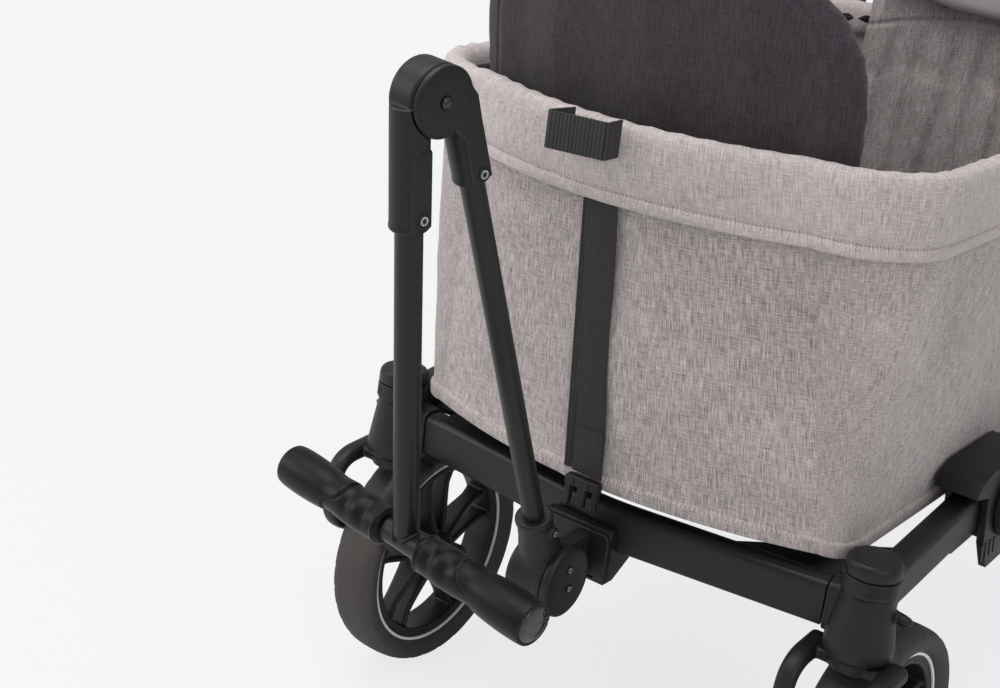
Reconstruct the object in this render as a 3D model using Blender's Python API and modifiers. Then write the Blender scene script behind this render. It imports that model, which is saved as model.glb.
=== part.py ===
"""Folding stroller wagon: tube chassis on four spoked wheels, fabric basket, two-link pull bar.

Metres, +Z up, the front (pull bar) towards -Y. The footprint is centred on the origin and the
wheels stand on z = 0. Run it from Blender's text editor or with blender --background --python.
"""

import math

import bmesh
import bpy
from mathutils import Matrix, Vector

# Clearances
SEAT_GAP = 0.0003           # between faces that touch on the real wagon
RUN_GAP = 0.0010            # between parts that turn against each other
BORE_GAP = 0.0003           # radial, between a pin and its hole

# Wheels and casters
TRACK = 0.550               # between the caster axes, across the wagon
WHEELBASE = 0.790           # caster axis to rear axle
WHEEL_RADIUS = 0.132
TYRE_WIDTH = 0.056
TYRE_DEPTH = 0.0240          # tread to the tyre's seat on the rim
RIM_DEPTH = 0.0130           # tyre seat to the rim's inner face
TYRE_SEAT_RADIUS = WHEEL_RADIUS - TYRE_DEPTH
RIM_INNER_RADIUS = TYRE_SEAT_RADIUS - RIM_DEPTH
RIM_WIDTH = 0.036
RIM_LIP = 0.003
HUB_RADIUS = 0.021
HUB_WIDTH = 0.060
SPOKE_PAIRS = 5
SPOKE_THICKNESS = 0.0062
SPOKE_DEPTH = 0.020
SPOKE_SPREAD = 0.0105       # each blade of a pair stands this far off the pair's centre line
WHEEL_STEPS = 24            # facets round a rim and its tyre, equal so that they nest
AXLE_RADIUS = 0.006
CASTER_TRAIL = 0.0715
FORK_LEG_X = 0.0395
FORK_LEG_RADIUS = 0.0095
FORK_CROWN_THICKNESS = 0.014
STEM_RADIUS = 0.0080
STEM_TOP = 0.3167           # above the floor, inside the housing

# Caster housings and caps
HOUSING_BOTTOM_Z = 0.2702
HOUSING_TOP_Z = 0.3331
HOUSING_BOTTOM_RADIUS = 0.0324
HOUSING_TOP_RADIUS = 0.0245
CAP_HEIGHT = 0.0337
CAP_RADIUS = 0.0250
CAP_SKIRT_RADIUS = 0.0268
COLLAR_WALL = 0.0022
KNOB_Z = 0.3117
KNOB_RADIUS = 0.0060
KNOB_LENGTH = 0.011

# Chassis tubes
BAR_BOTTOM_Z = 0.2807
BAR_HEIGHT = 0.045
BAR_DEPTH = 0.026
BAR_SETBACK = 0.0140        # bar centre line behind the caster axis, where the line meets it
BAR_SLOPE = 0.131           # each half leans forward by this share of its length
BAR_BEND_RADIUS = 0.30
BAR_END_X = TRACK / 2 - 0.0405
RAIL_WIDTH = 0.028
RAIL_HEIGHT = 0.044
RAIL_FRONT_Z = 0.3242       # rail centre line above the caster axis
RAIL_START = 0.0335         # behind the caster axis
EDGE_RADIUS = 0.009
GUSSET_THICKNESS = 0.006
GUSSET_LENGTH = 0.100
GUSSET_Z = 0.3127

# Fold hubs and centre frame
HUB_SPACING = 0.260         # front fold axis to rear fold axis
HUB_Z = 0.3547
BLOCK_CHEEK = 0.0080
BLOCK_TOP = 0.043           # above the fold axis
BLOCK_BOTTOM = 0.074        # below it
BLOCK_NOSE = 0.100          # towards the wheel
BLOCK_TAIL = 0.055          # towards the middle of the wagon
DISC_RADIUS = 0.045
DISC_THICKNESS = 0.0115
FOLD_PIN_RADIUS = 0.0080
CENTRE_RAIL_HEIGHT = 0.036
CENTRE_RAIL_END = 0.035     # from the fold axis to the centre rail's end
CROSS_TUBE_RADIUS = 0.011
CROSS_TUBE_Z = 0.3287
CROSS_TUBE_SPACING = 0.052

# Rim posts and hoops
POST_RADIUS = 0.0085
POST_FOOT_X = TRACK / 2 - 0.0585
POST_HEAD_X = TRACK / 2 - 0.0475
RIM_HINGE_Z = 0.6787
RIM_HINGE_SPACING = 0.046
RIM_HINGE_PLATE = 0.012
HOOP_X = TRACK / 2 - 0.0325
HOOP_RADIUS = 0.0065
HOOP_INSET = 0.0105          # hoop centre line inside the cloth, at the ends
RIM_PIN_RADIUS = 0.0035
RIM_EYE_RADIUS = 0.0095

# Basket
BASKET_BOTTOM_Z = 0.3427
BASKET_TOP_Z = 0.7097
CUFF_DEPTH = 0.074
CUFF_PROUD = 0.0060
CLOTH = 0.0035
BOTTOM_HALF_WIDTH = TRACK / 2 - 0.0310
BOTTOM_END_BOW = 0.046
BOTTOM_CORNER_RADIUS = 0.022
BOTTOM_CORNER_Y = 0.0010    # how far the bottom corner stands in front of the caster axis
RIM_HALF_WIDTH = TRACK / 2 - 0.0100
RIM_END_BOW = 0.046
RIM_CORNER_RADIUS = 0.095
RIM_CORNER_Y = 0.0500
FLOOR_THICKNESS = 0.014
FLOOR_HALF_WIDTH = BOTTOM_HALF_WIDTH - 0.0390
FLOOR_END_GAP = 0.022

# Seat backs
SEAT_WIDTH = 2 * (HOOP_X - 0.0425)
SEAT_THICKNESS = 0.026      # at the crown
SEAT_BOTTOM_Z = 0.4217
SEAT_TOP_Z = 0.8720
SEAT_CORNER_RADIUS = 0.115
SEAT_LEAN = 9.0             # degrees, outwards
SEAT_SETBACK = 0.038        # inside the basket's end at the seat's foot
SEAT_BOW = 0.024            # the middle stands this far out from the sides
SEAT_CHANNEL = 0.0035       # depth of the quilting lines

# Strap and loop
STRAP_WIDTH = 0.034
STRAP_THICKNESS = 0.0022
STRAP_STANDOFF = 0.0030
STRAP_END_Z = 0.3587
STRAP_GAP_UNDER_CUFF = 0.0010
LOOP_Z = 0.6970
LOOP_LENGTH = 0.055
LOOP_DEPTH = 0.032
LOOP_X = -0.010
LOOP_THICKNESS = 0.0030
BUCKLE_WIDTH = 0.040
BUCKLE_HEIGHT = 0.036
BUCKLE_THICKNESS = 0.012

# Pull bar, measured from the caster axis (y) and the floor (z)
PULL_HUB_Y = -0.106
PULL_HUB_Z = 0.2737
PULL_HUB_RADIUS = 0.0345
PULL_HUB_WIDTH = 0.045
PULL_HUB_FLANGE = 0.0045
TONGUE_WIDTH = 0.016
TONGUE_RADIUS = 0.021
SWING_TOP = 75              # degrees above level, the slot that the tongue swings in
SWING_BOTTOM = 135
SADDLE_LEFT_X = -0.046
SADDLE_RIGHT_X = 0.030
SADDLE_WALL = 0.012
SADDLE_DROP = 0.030
LOWER_TUBE_RADIUS = 0.0102
LOWER_SOCKET_RADIUS = 0.0165
LOWER_SOCKET_LENGTH = 0.077
SOCKET_DEPTH = 0.040
PULL_LEAN = 23.6            # degrees, the lower tube forward of upright
KNEE_RISE = 0.5364          # hub to knee bolt, along the lower tube
KNEE_OFFSET = 0.0236        # knee bolt in front of the lower tube's axis
KNEE_UPPER_OFFSET = 0.0200  # knee bolt behind the upper tube's axis
KNEE_RADIUS = 0.0285
KNEE_LEFT_X = -0.0165
KNEE_BARREL_X = 0.0115      # right face of the upper half's barrel
KNEE_PLATE_X = 0.0170       # right face of the lower half's side plate
KNEE_SOCKET_WALL = 0.0045
KNEE_LOWER_LENGTH = 0.087
KNEE_UPPER_LENGTH = 0.102
KNEE_BOLT_RADIUS = 0.0045
KNEE_BOLT_HEAD = 0.0090
RIB_HALF_WIDTH = 0.0090     # the flat strip down the right of each socket
UPPER_TUBE_RADIUS = 0.0112
UPPER_TUBE_LENGTH = 0.291   # from the socket's mouth to the T
UPPER_TUBE_LEAN = 9.4       # degrees, foot towards the wagon
T_TUBE_RADIUS = 0.0110
T_HALF_LENGTH = 0.1470
GRIP_RADIUS = 0.0185
GRIP_INNER_X = 0.0225
PULL_TWIST = 8.0            # degrees, right grip forward

# Push handle and rear end
STEM_X = TRACK / 2 + 0.0120
STEM_TUBE_RADIUS = 0.0100
STEM_TOP_Y = 0.150          # behind the rear axle
STEM_TOP_Z = 0.7017
STEM_HUB_RADIUS = 0.022
STEM_HUB_WIDTH = 0.021
HANDLE_RISE = 0.245
HANDLE_REACH = 0.080
HANDLE_TUBE_RADIUS = 0.0105
HANDLE_CORNER = 0.060
PUSH_GRIP_RADIUS = 0.0165
PUSH_GRIP_HALF_LENGTH = 0.170
LEG_WIDTH = 0.022
LEG_X = TRACK / 2 - 0.0420
LEG_BOSS_RADIUS = 0.019
PEDAL_Y = 0.042
PEDAL_Z = 0.062             # above the axle
PEDAL_ROD_RADIUS = 0.006
PEDAL_FOOT_X = 0.060        # from the middle of the wagon to the foot plate
PEDAL_FOOT_WIDTH = 0.090
PEDAL_FOOT_REACH = 0.062    # behind the pedal's rod
REAR_BLOCK_HALF = 0.030     # the corner bracket, in front of the axle and behind it
STEM_FOOT_Y = 0.008         # behind the rear axle
STEM_STRAIGHT = 0.070       # upright part of the stem, below its bend
STEM_BEND_RADIUS = 0.12

# Where the wagon's middle lies, so that its footprint is centred on the origin
LEAN_SIN, LEAN_COS = math.sin(math.radians(PULL_LEAN)), math.cos(math.radians(PULL_LEAN))
KNEE_Y = PULL_HUB_Y - LEAN_SIN * KNEE_RISE - LEAN_COS * KNEE_OFFSET
KNEE_Z = PULL_HUB_Z + LEAN_COS * KNEE_RISE - LEAN_SIN * KNEE_OFFSET
FRONT_REACH = WHEELBASE / 2 - KNEE_Y + KNEE_UPPER_OFFSET + UPPER_TUBE_RADIUS + KNEE_SOCKET_WALL
REAR_REACH = WHEELBASE / 2 + STEM_TOP_Y + HANDLE_REACH + PUSH_GRIP_RADIUS
MIDDLE_Y = (FRONT_REACH - REAR_REACH) / 2
CASTER_X = TRACK / 2
CASTER_Y = MIDDLE_Y - WHEELBASE / 2
REAR_AXLE_Y = MIDDLE_Y + WHEELBASE / 2
AXLE_Z = WHEEL_RADIUS
SIDES = {"right": 1, "left": -1}
ENDS = {"front": -1, "rear": 1}

for old in list(bpy.data.objects):
    bpy.data.objects.remove(old, do_unlink=True)


def new_collection(name):
    collection = bpy.data.collections.new(name)
    bpy.context.scene.collection.children.link(collection)
    return collection


wagon = new_collection("folding_wagon")
cutters = new_collection("cutters")
cutters.hide_render = True


def material(name, colour, roughness, metallic=0.0):
    made = bpy.data.materials.new(name)
    made.use_nodes = True
    shader = made.node_tree.nodes["Principled BSDF"]
    shader.inputs["Base Color"].default_value = (*colour, 1.0)
    shader.inputs["Roughness"].default_value = roughness
    shader.inputs["Metallic"].default_value = metallic
    return made


PLASTIC = ((0.017, 0.017, 0.018), 0.45)
COATED = ((0.020, 0.020, 0.021), 0.38)
RUBBER = ((0.040, 0.037, 0.036), 0.75)
STEEL = ((0.35, 0.35, 0.36), 0.30, 1.0)
HEATHER = ((0.36, 0.33, 0.32), 0.95)
CHARCOAL = ((0.045, 0.038, 0.045), 0.95)
WEBBING = ((0.012, 0.012, 0.013), 0.85)


def add_object(name, bm, finish=None):
    """The bmesh as a named object: a part where it has a finish, and otherwise a cutter."""
    bmesh.ops.recalc_face_normals(bm, faces=bm.faces)
    mesh = bpy.data.meshes.new(name)
    bm.to_mesh(mesh)
    bm.free()
    return place_object(name, mesh, finish)


def place_object(name, mesh, finish):
    obj = bpy.data.objects.new(name, mesh)
    if finish is None:
        cutters.objects.link(obj)
        obj.hide_render = True
        obj.display_type = "WIRE"
        return obj
    wagon.objects.link(obj)
    mesh.materials.clear()
    mesh.materials.append(material(name, *finish))
    mesh.shade_smooth()
    mesh.set_sharp_from_angle(angle=math.radians(35))
    return obj


def box(name, low, high, finish=None, bevel=0.0):
    bm = bmesh.new()
    bmesh.ops.create_cube(bm, size=1.0)
    low, high = Vector(low), Vector(high)
    middle = (low + high) / 2
    size = high - low
    for vertex in bm.verts:
        vertex.co = Vector(a * b for a, b in zip(vertex.co, size)) + middle
    if bevel:
        bmesh.ops.bevel(bm, geom=bm.edges[:], offset=bevel, segments=1, affect="EDGES")
    return add_object(name, bm, finish)


def rod(name, start, end, radius, finish=None, end_radius=None, sides=16, bevel=0.0):
    """A cylinder or cone from start to end."""
    start, end = Vector(start), Vector(end)
    along = end - start
    bm = bmesh.new()
    bmesh.ops.create_cone(
        bm, cap_ends=True, segments=sides, radius1=radius,
        radius2=radius if end_radius is None else end_radius, depth=along.length,
    )
    if bevel:
        caps = [edge for edge in bm.edges if abs(edge.verts[0].co.z - edge.verts[1].co.z) < 1e-6]
        bmesh.ops.bevel(bm, geom=caps, offset=bevel, segments=1, affect="EDGES")
    turn = Vector((0, 0, 1)).rotation_difference(along).to_matrix().to_4x4()
    bmesh.ops.transform(bm, matrix=Matrix.Translation((start + end) / 2) @ turn, verts=bm.verts)
    return add_object(name, bm, finish)


def loft(name, rings, finish=None):
    """A skin through rings of points, closed with a face at each end."""
    bm = bmesh.new()
    loops = [[bm.verts.new(point) for point in ring] for ring in rings]
    count = len(rings[0])
    for one, two in zip(loops, loops[1:]):
        for i in range(count):
            j = (i + 1) % count
            bm.faces.new((one[i], one[j], two[j], two[i]))
    bm.faces.new(loops[0])
    bm.faces.new(loops[-1])
    return add_object(name, bm, finish)


def turned(name, profile, centre, finish=None, axis="Z", steps=20):
    """A profile of (radius, height) points down the outer side, turned about an axis."""
    mesh = bpy.data.meshes.new(name)
    points = [(radius, 0, height) for radius, height in profile]
    mesh.from_pydata(points, [(i, i + 1) for i in range(len(points) - 1)], [])
    obj = place_object(name, mesh, finish)
    obj.location = centre
    if axis == "X":
        obj.rotation_euler = (0, math.radians(90), 0)
    screw = obj.modifiers.new("turn", "SCREW")
    screw.steps = steps
    screw.render_steps = steps
    screw.use_merge_vertices = True
    screw.merge_threshold = 0.00005
    screw.use_smooth_shade = True
    return obj


def slab(name, outline, low, high, finish=None, axis="X"):
    """An outline of (u, v) points as thick as low to high along an axis: (y, z) for X, (x, y) for Z."""
    def point(u, v, height):
        return (height, u, v) if axis == "X" else (u, v, height)
    return loft(name, [[point(u, v, h) for u, v in outline] for h in (low, high)], finish)


def rounded_path(corners, radius, steps=5):
    """The corners joined by straight runs, with an arc of the radius at each inner one."""
    corners = [Vector(corner) for corner in corners]
    path = [corners[0]]
    for before, corner, after in zip(corners, corners[1:], corners[2:]):
        into = (corner - before).normalized()
        out = (after - corner).normalized()
        bend = into.angle(out)
        cut = radius * math.tan(bend / 2)
        centre = corner + (out - into).normalized() * radius / math.cos(bend / 2)
        first = corner - into * cut - centre
        axis = into.cross(out)
        for i in range(steps + 1):
            path.append(centre + Matrix.Rotation(bend * i / steps, 3, axis) @ first)
    path.append(corners[-1])
    return path


def tube(name, path, radius, finish=None, resolution=2):
    """A round tube along a path, as a mesh with welded caps."""
    curve = bpy.data.curves.new(name, "CURVE")
    curve.dimensions = "3D"
    curve.bevel_depth = radius
    curve.bevel_resolution = resolution
    curve.use_fill_caps = True
    spline = curve.splines.new("POLY")
    spline.points.add(len(path) - 1)
    for point, place in zip(spline.points, path):
        point.co = (*place, 1.0)
    guide = bpy.data.objects.new(name + "_path", curve)
    cutters.objects.link(guide)
    graph = bpy.context.evaluated_depsgraph_get()
    mesh = bpy.data.meshes.new_from_object(guide.evaluated_get(graph))
    bpy.data.objects.remove(guide)
    bm = bmesh.new()
    bm.from_mesh(mesh)
    bpy.data.meshes.remove(mesh)
    bmesh.ops.remove_doubles(bm, verts=bm.verts, dist=0.00002)
    return add_object(name, bm, finish)


def boolean(target, others, operation):
    for other in others:
        modifier = target.modifiers.new(operation.lower(), "BOOLEAN")
        modifier.operation = operation
        modifier.solver = "EXACT"
        modifier.object = other
    return target


def unite(target, *others):
    return boolean(target, others, "UNION")


def cut(target, *others):
    return boolean(target, others, "DIFFERENCE")


def crowned_section(width, height, edge=EDGE_RADIUS):
    """A tube section as (across, up) points about its centre, with a rounded top."""
    half, top = width / 2, height / 2
    foot = min(0.003, edge)
    points = [(-half, -top + foot), (-half + foot, -top), (half - foot, -top), (half, -top + foot)]
    for start, centre in ((0, half - edge), (90, -half + edge)):
        for step in range(4):
            turn = math.radians(start + 30 * step)
            points.append((centre + edge * math.cos(turn), top - edge + edge * math.sin(turn)))
    return points


def sweep(name, path, section, finish=None):
    """The section, upright, along a path that stays near level."""
    rings = []
    for i, place in enumerate(path):
        along = path[min(i + 1, len(path) - 1)] - path[max(i - 1, 0)]
        across = Vector((along.y, -along.x, 0)).normalized()
        rings.append([place + across * u + Vector((0, 0, v)) for u, v in section])
    return loft(name, rings, finish)


def mirrored(side, points):
    return [Vector((side * point[0], point[1], point[2])) for point in points]


# Crossbars: a tube with a shallow bend in its middle
BAR_Z = BAR_BOTTOM_Z + BAR_HEIGHT / 2


def bar_line(end, x):
    """The crossbar's centre line at x, on the front or rear axle line."""
    axle_y = CASTER_Y if end < 0 else REAR_AXLE_Y
    reach = BAR_SLOPE * (CASTER_X - abs(x)) - BAR_SETBACK
    return Vector((x, axle_y + end * reach, BAR_Z))


def crossbar(end_name, end, half):
    path = rounded_path([bar_line(end, -half), bar_line(end, 0), bar_line(end, half)], BAR_BEND_RADIUS)
    return sweep(end_name + "_crossbar", path, crowned_section(BAR_DEPTH, BAR_HEIGHT), COATED)


# Rails: from a corner up to the eye on the fold axis
FOLD_Y = {"front": MIDDLE_Y - HUB_SPACING / 2, "rear": MIDDLE_Y + HUB_SPACING / 2}
END_Y = {"front": CASTER_Y, "rear": REAR_AXLE_Y}


def rail_line(end_name, behind):
    """Rail centre line at a distance from the axle line towards the fold axis."""
    span = WHEELBASE / 2 - HUB_SPACING / 2
    y = END_Y[end_name] - ENDS[end_name] * behind
    return Vector((CASTER_X, y, RAIL_FRONT_Z + (HUB_Z - RAIL_FRONT_Z) * behind / span))


def rail(end_name, side_name, start):
    side = SIDES[side_name]
    span = WHEELBASE / 2 - HUB_SPACING / 2
    path = mirrored(side, [rail_line(end_name, start), rail_line(end_name, span)])
    bar = sweep(f"{end_name}_rail_{side_name}", path, crowned_section(RAIL_WIDTH, RAIL_HEIGHT), COATED)
    inner, outer = side * (CASTER_X - RAIL_WIDTH / 2), side * (CASTER_X + RAIL_WIDTH / 2)
    fold_y = FOLD_Y[end_name]
    eye = rod(bar.name + "_eye", (inner, fold_y, HUB_Z), (outer, fold_y, HUB_Z), RAIL_HEIGHT / 2, sides=24)
    bore = rod(
        bar.name + "_bore", (inner - side * 0.01, fold_y, HUB_Z), (outer + side * 0.01, fold_y, HUB_Z),
        FOLD_PIN_RADIUS + BORE_GAP,
    )
    return cut(unite(bar, eye), bore)


# Front corner: a turned housing with a collar for the bar and one for the rail
def caster_housing(side_name):
    side = SIDES[side_name]
    centre = (side * CASTER_X, CASTER_Y, 0)
    profile = [
        (0, HOUSING_TOP_Z), (HOUSING_TOP_RADIUS, HOUSING_TOP_Z),
        (HOUSING_TOP_RADIUS + 0.0012, HOUSING_TOP_Z - 0.012),
        (HOUSING_BOTTOM_RADIUS - 0.0012, HOUSING_BOTTOM_Z + 0.010),
        (HOUSING_BOTTOM_RADIUS, HOUSING_BOTTOM_Z + 0.007), (HOUSING_BOTTOM_RADIUS, HOUSING_BOTTOM_Z),
        (0, HOUSING_BOTTOM_Z),
    ]
    name = "caster_housing_" + side_name
    housing = turned(name, profile, centre, PLASTIC)
    wall = 2 * COLLAR_WALL
    bar_end = BAR_END_X + SEAT_GAP
    bar_path = [bar_line(-1, side * bar_end), bar_line(-1, side * (CASTER_X - 0.008))]
    bar_collar = sweep(
        name + "_bar_collar", bar_path, crowned_section(BAR_DEPTH + wall, BAR_HEIGHT + wall, 0.010),
    )
    rail_path = mirrored(side, [rail_line("front", 0.006), rail_line("front", RAIL_START - SEAT_GAP)])
    rail_collar = sweep(
        name + "_rail_collar", rail_path, crowned_section(RAIL_WIDTH + wall, RAIL_HEIGHT + wall, 0.010)
    )
    cap_room = rod(
        name + "_cap_room", (centre[0], CASTER_Y, HOUSING_TOP_Z), (centre[0], CASTER_Y, HOUSING_TOP_Z + 0.05),
        CAP_SKIRT_RADIUS + RUN_GAP, sides=28,
    )
    cut(rail_collar, cap_room)
    knob_y = CASTER_Y + 0.010
    knob = rod(
        name + "_knob", (side * (CASTER_X + 0.018), knob_y, KNOB_Z),
        (side * (CASTER_X + HOUSING_BOTTOM_RADIUS + KNOB_LENGTH - 0.005), knob_y, KNOB_Z), KNOB_RADIUS,
        sides=12, bevel=0.0015,
    )
    bore = rod(
        name + "_bore", (centre[0], CASTER_Y, HOUSING_BOTTOM_Z - 0.01),
        (centre[0], CASTER_Y, STEM_TOP + 2 * RUN_GAP),
        STEM_RADIUS + BORE_GAP,
    )
    cut(unite(housing, bar_collar, rail_collar, knob), bore)


def caster_cap(side_name):
    base = HOUSING_TOP_Z + SEAT_GAP
    top = HOUSING_TOP_Z + CAP_HEIGHT
    profile = [
        (0, top), (CAP_RADIUS - 0.0040, top - 0.0002), (CAP_RADIUS - 0.0012, top - 0.0022),
        (CAP_RADIUS, top - 0.0052), (CAP_RADIUS, top - 0.0140), (CAP_RADIUS - 0.0016, top - 0.0150),
        (CAP_RADIUS - 0.0016, top - 0.0170), (CAP_SKIRT_RADIUS - 0.0008, top - 0.0180),
        (CAP_SKIRT_RADIUS, base + 0.0060), (CAP_SKIRT_RADIUS - 0.0006, base), (0, base),
    ]
    turned("caster_cap_" + side_name, profile, (SIDES[side_name] * CASTER_X, CASTER_Y, 0), PLASTIC, steps=18)


def corner_gusset(side_name):
    side = SIDES[side_name]
    inner_x = CASTER_X - RAIL_WIDTH / 2 - SEAT_GAP

    def behind_bar(x):
        return bar_line(-1, x).y + (BAR_DEPTH / 2 + SEAT_GAP) * math.hypot(1, BAR_SLOPE)
    near, far = BAR_END_X - 0.004, BAR_END_X - 0.004 - GUSSET_LENGTH
    collar_y = CASTER_Y + RAIL_START + SEAT_GAP
    outline = [
        (far, behind_bar(far)), (near, behind_bar(near)), (near, collar_y + 0.004),
        (inner_x, collar_y + 0.004),
        (inner_x, collar_y + GUSSET_LENGTH), (inner_x - 0.012, collar_y + GUSSET_LENGTH),
        (far, behind_bar(far) + 0.008),
    ]
    outline = [(side * x, y) for x, y in outline]
    slab("corner_gusset_" + side_name, outline, GUSSET_Z, GUSSET_Z + GUSSET_THICKNESS, PLASTIC, axis="Z")


# Caster: crown and stem, two C-shaped legs, axle
def caster_fork(side_name):
    centre_x = SIDES[side_name] * CASTER_X
    name = "caster_fork_" + side_name
    crown_top = HOUSING_BOTTOM_Z - RUN_GAP
    crown_z = crown_top - FORK_CROWN_THICKNESS
    axle_y = CASTER_Y + CASTER_TRAIL
    fork = rod(
        name, (centre_x, CASTER_Y, crown_z), (centre_x, CASTER_Y, crown_top), 0.0260, PLASTIC, sides=20,
    )
    bridge = box(
        name + "_bridge", (centre_x - FORK_LEG_X - 0.004, CASTER_Y - 0.020, crown_z),
        (centre_x + FORK_LEG_X + 0.004, CASTER_Y + 0.008, crown_top - 0.001), bevel=0.003,
    )
    stem = rod(
        name + "_stem", (centre_x, CASTER_Y, crown_top - 0.003), (centre_x, CASTER_Y, STEM_TOP),
        STEM_RADIUS,
    )
    pieces = [bridge, stem]
    for leg_side in (-1, 1):
        x = centre_x + leg_side * FORK_LEG_X
        corners = [
            (x, CASTER_Y + 0.004, crown_z + 0.009), (x, CASTER_Y - 0.052, crown_z + 0.004),
            (x, CASTER_Y - 0.056, AXLE_Z + 0.060), (x, axle_y, AXLE_Z),
        ]
        leg = tube(f"{name}_leg_{leg_side}", rounded_path(corners, 0.034, 3), FORK_LEG_RADIUS, resolution=1)
        boss = rod(
            f"{name}_boss_{leg_side}", (x - 0.0085, axle_y, AXLE_Z), (x + 0.0085, axle_y, AXLE_Z), 0.0150,
            sides=16
        )
        pieces += [leg, boss]
    bore = rod(
        name + "_bore", (centre_x - 0.06, axle_y, AXLE_Z), (centre_x + 0.06, axle_y, AXLE_Z),
        AXLE_RADIUS + BORE_GAP,
    )
    wheel_room = rod(
        name + "_wheel_room", (centre_x - HUB_WIDTH / 2 - SEAT_GAP, axle_y, AXLE_Z),
        (centre_x + HUB_WIDTH / 2 + SEAT_GAP, axle_y, AXLE_Z), WHEEL_RADIUS + 0.0025, sides=24,
    )
    cut(unite(fork, *pieces), bore, wheel_room)
    rod(
        "front_axle_" + side_name, (centre_x - FORK_LEG_X - 0.013, axle_y, AXLE_Z),
        (centre_x + FORK_LEG_X + 0.013, axle_y, AXLE_Z), AXLE_RADIUS, STEEL, bevel=0.001,
    )


def wheel(name, x, y):
    """A rim, hub and paired blade spokes in one moulding, and the tyre round it."""
    half = RIM_WIDTH / 2
    rim = turned(name, [
        (RIM_INNER_RADIUS, half), (TYRE_SEAT_RADIUS - RIM_LIP, half),
        (TYRE_SEAT_RADIUS - SEAT_GAP, half - RIM_LIP),
        (TYRE_SEAT_RADIUS - SEAT_GAP, RIM_LIP - half), (TYRE_SEAT_RADIUS - RIM_LIP, -half),
        (RIM_INNER_RADIUS, -half),
        (RIM_INNER_RADIUS, half),
    ], (x, y, AXLE_Z), PLASTIC, axis="X", steps=WHEEL_STEPS)
    spokes = []
    for pair in range(SPOKE_PAIRS):
        turn = math.radians(90 + 360 / SPOKE_PAIRS * pair)
        out = Vector((0, math.cos(turn), math.sin(turn)))
        beside = Vector((0, -math.sin(turn), math.cos(turn)))
        for blade_side in (-1, 1):
            rings = []
            for reach, spread in (
                (HUB_RADIUS * 0.6, SPOKE_SPREAD * 0.45), (RIM_INNER_RADIUS + 0.004, SPOKE_SPREAD * 1.55),
            ):
                foot = Vector((x, y, AXLE_Z)) + out * reach + beside * blade_side * spread
                thick = beside * SPOKE_THICKNESS / 2
                deep = Vector((SPOKE_DEPTH / 2, 0, 0))
                rings.append(
                    [foot - thick - deep, foot + thick - deep, foot + thick + deep, foot - thick + deep],
                )
            spokes.append(loft(f"{name}_spoke_{pair}_{blade_side}", rings))
    hub = rod(
        name + "_hub", (x - HUB_WIDTH / 2, y, AXLE_Z), (x + HUB_WIDTH / 2, y, AXLE_Z), HUB_RADIUS, sides=20
    )
    bore = rod(
        name + "_bore", (x - HUB_WIDTH, y, AXLE_Z), (x + HUB_WIDTH, y, AXLE_Z), AXLE_RADIUS + BORE_GAP
    )
    cut(unite(rim, hub, *spokes), bore)
    wide = TYRE_WIDTH / 2
    shoulder = [
        (TYRE_SEAT_RADIUS + 0.006, wide - 0.003), (WHEEL_RADIUS - 0.009, wide), (WHEEL_RADIUS - 0.0022, wide * 0.76),
    ]
    tread = shoulder + [(WHEEL_RADIUS, 0)] + [(radius, -across) for radius, across in reversed(shoulder)]
    turned(name.replace("wheel", "tyre"), [
        (TYRE_SEAT_RADIUS, half - 0.004), *tread, (TYRE_SEAT_RADIUS, 0.004 - half),
        (TYRE_SEAT_RADIUS, half - 0.004),
    ], (x, y, AXLE_Z), RUBBER, axis="X", steps=WHEEL_STEPS)


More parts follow.
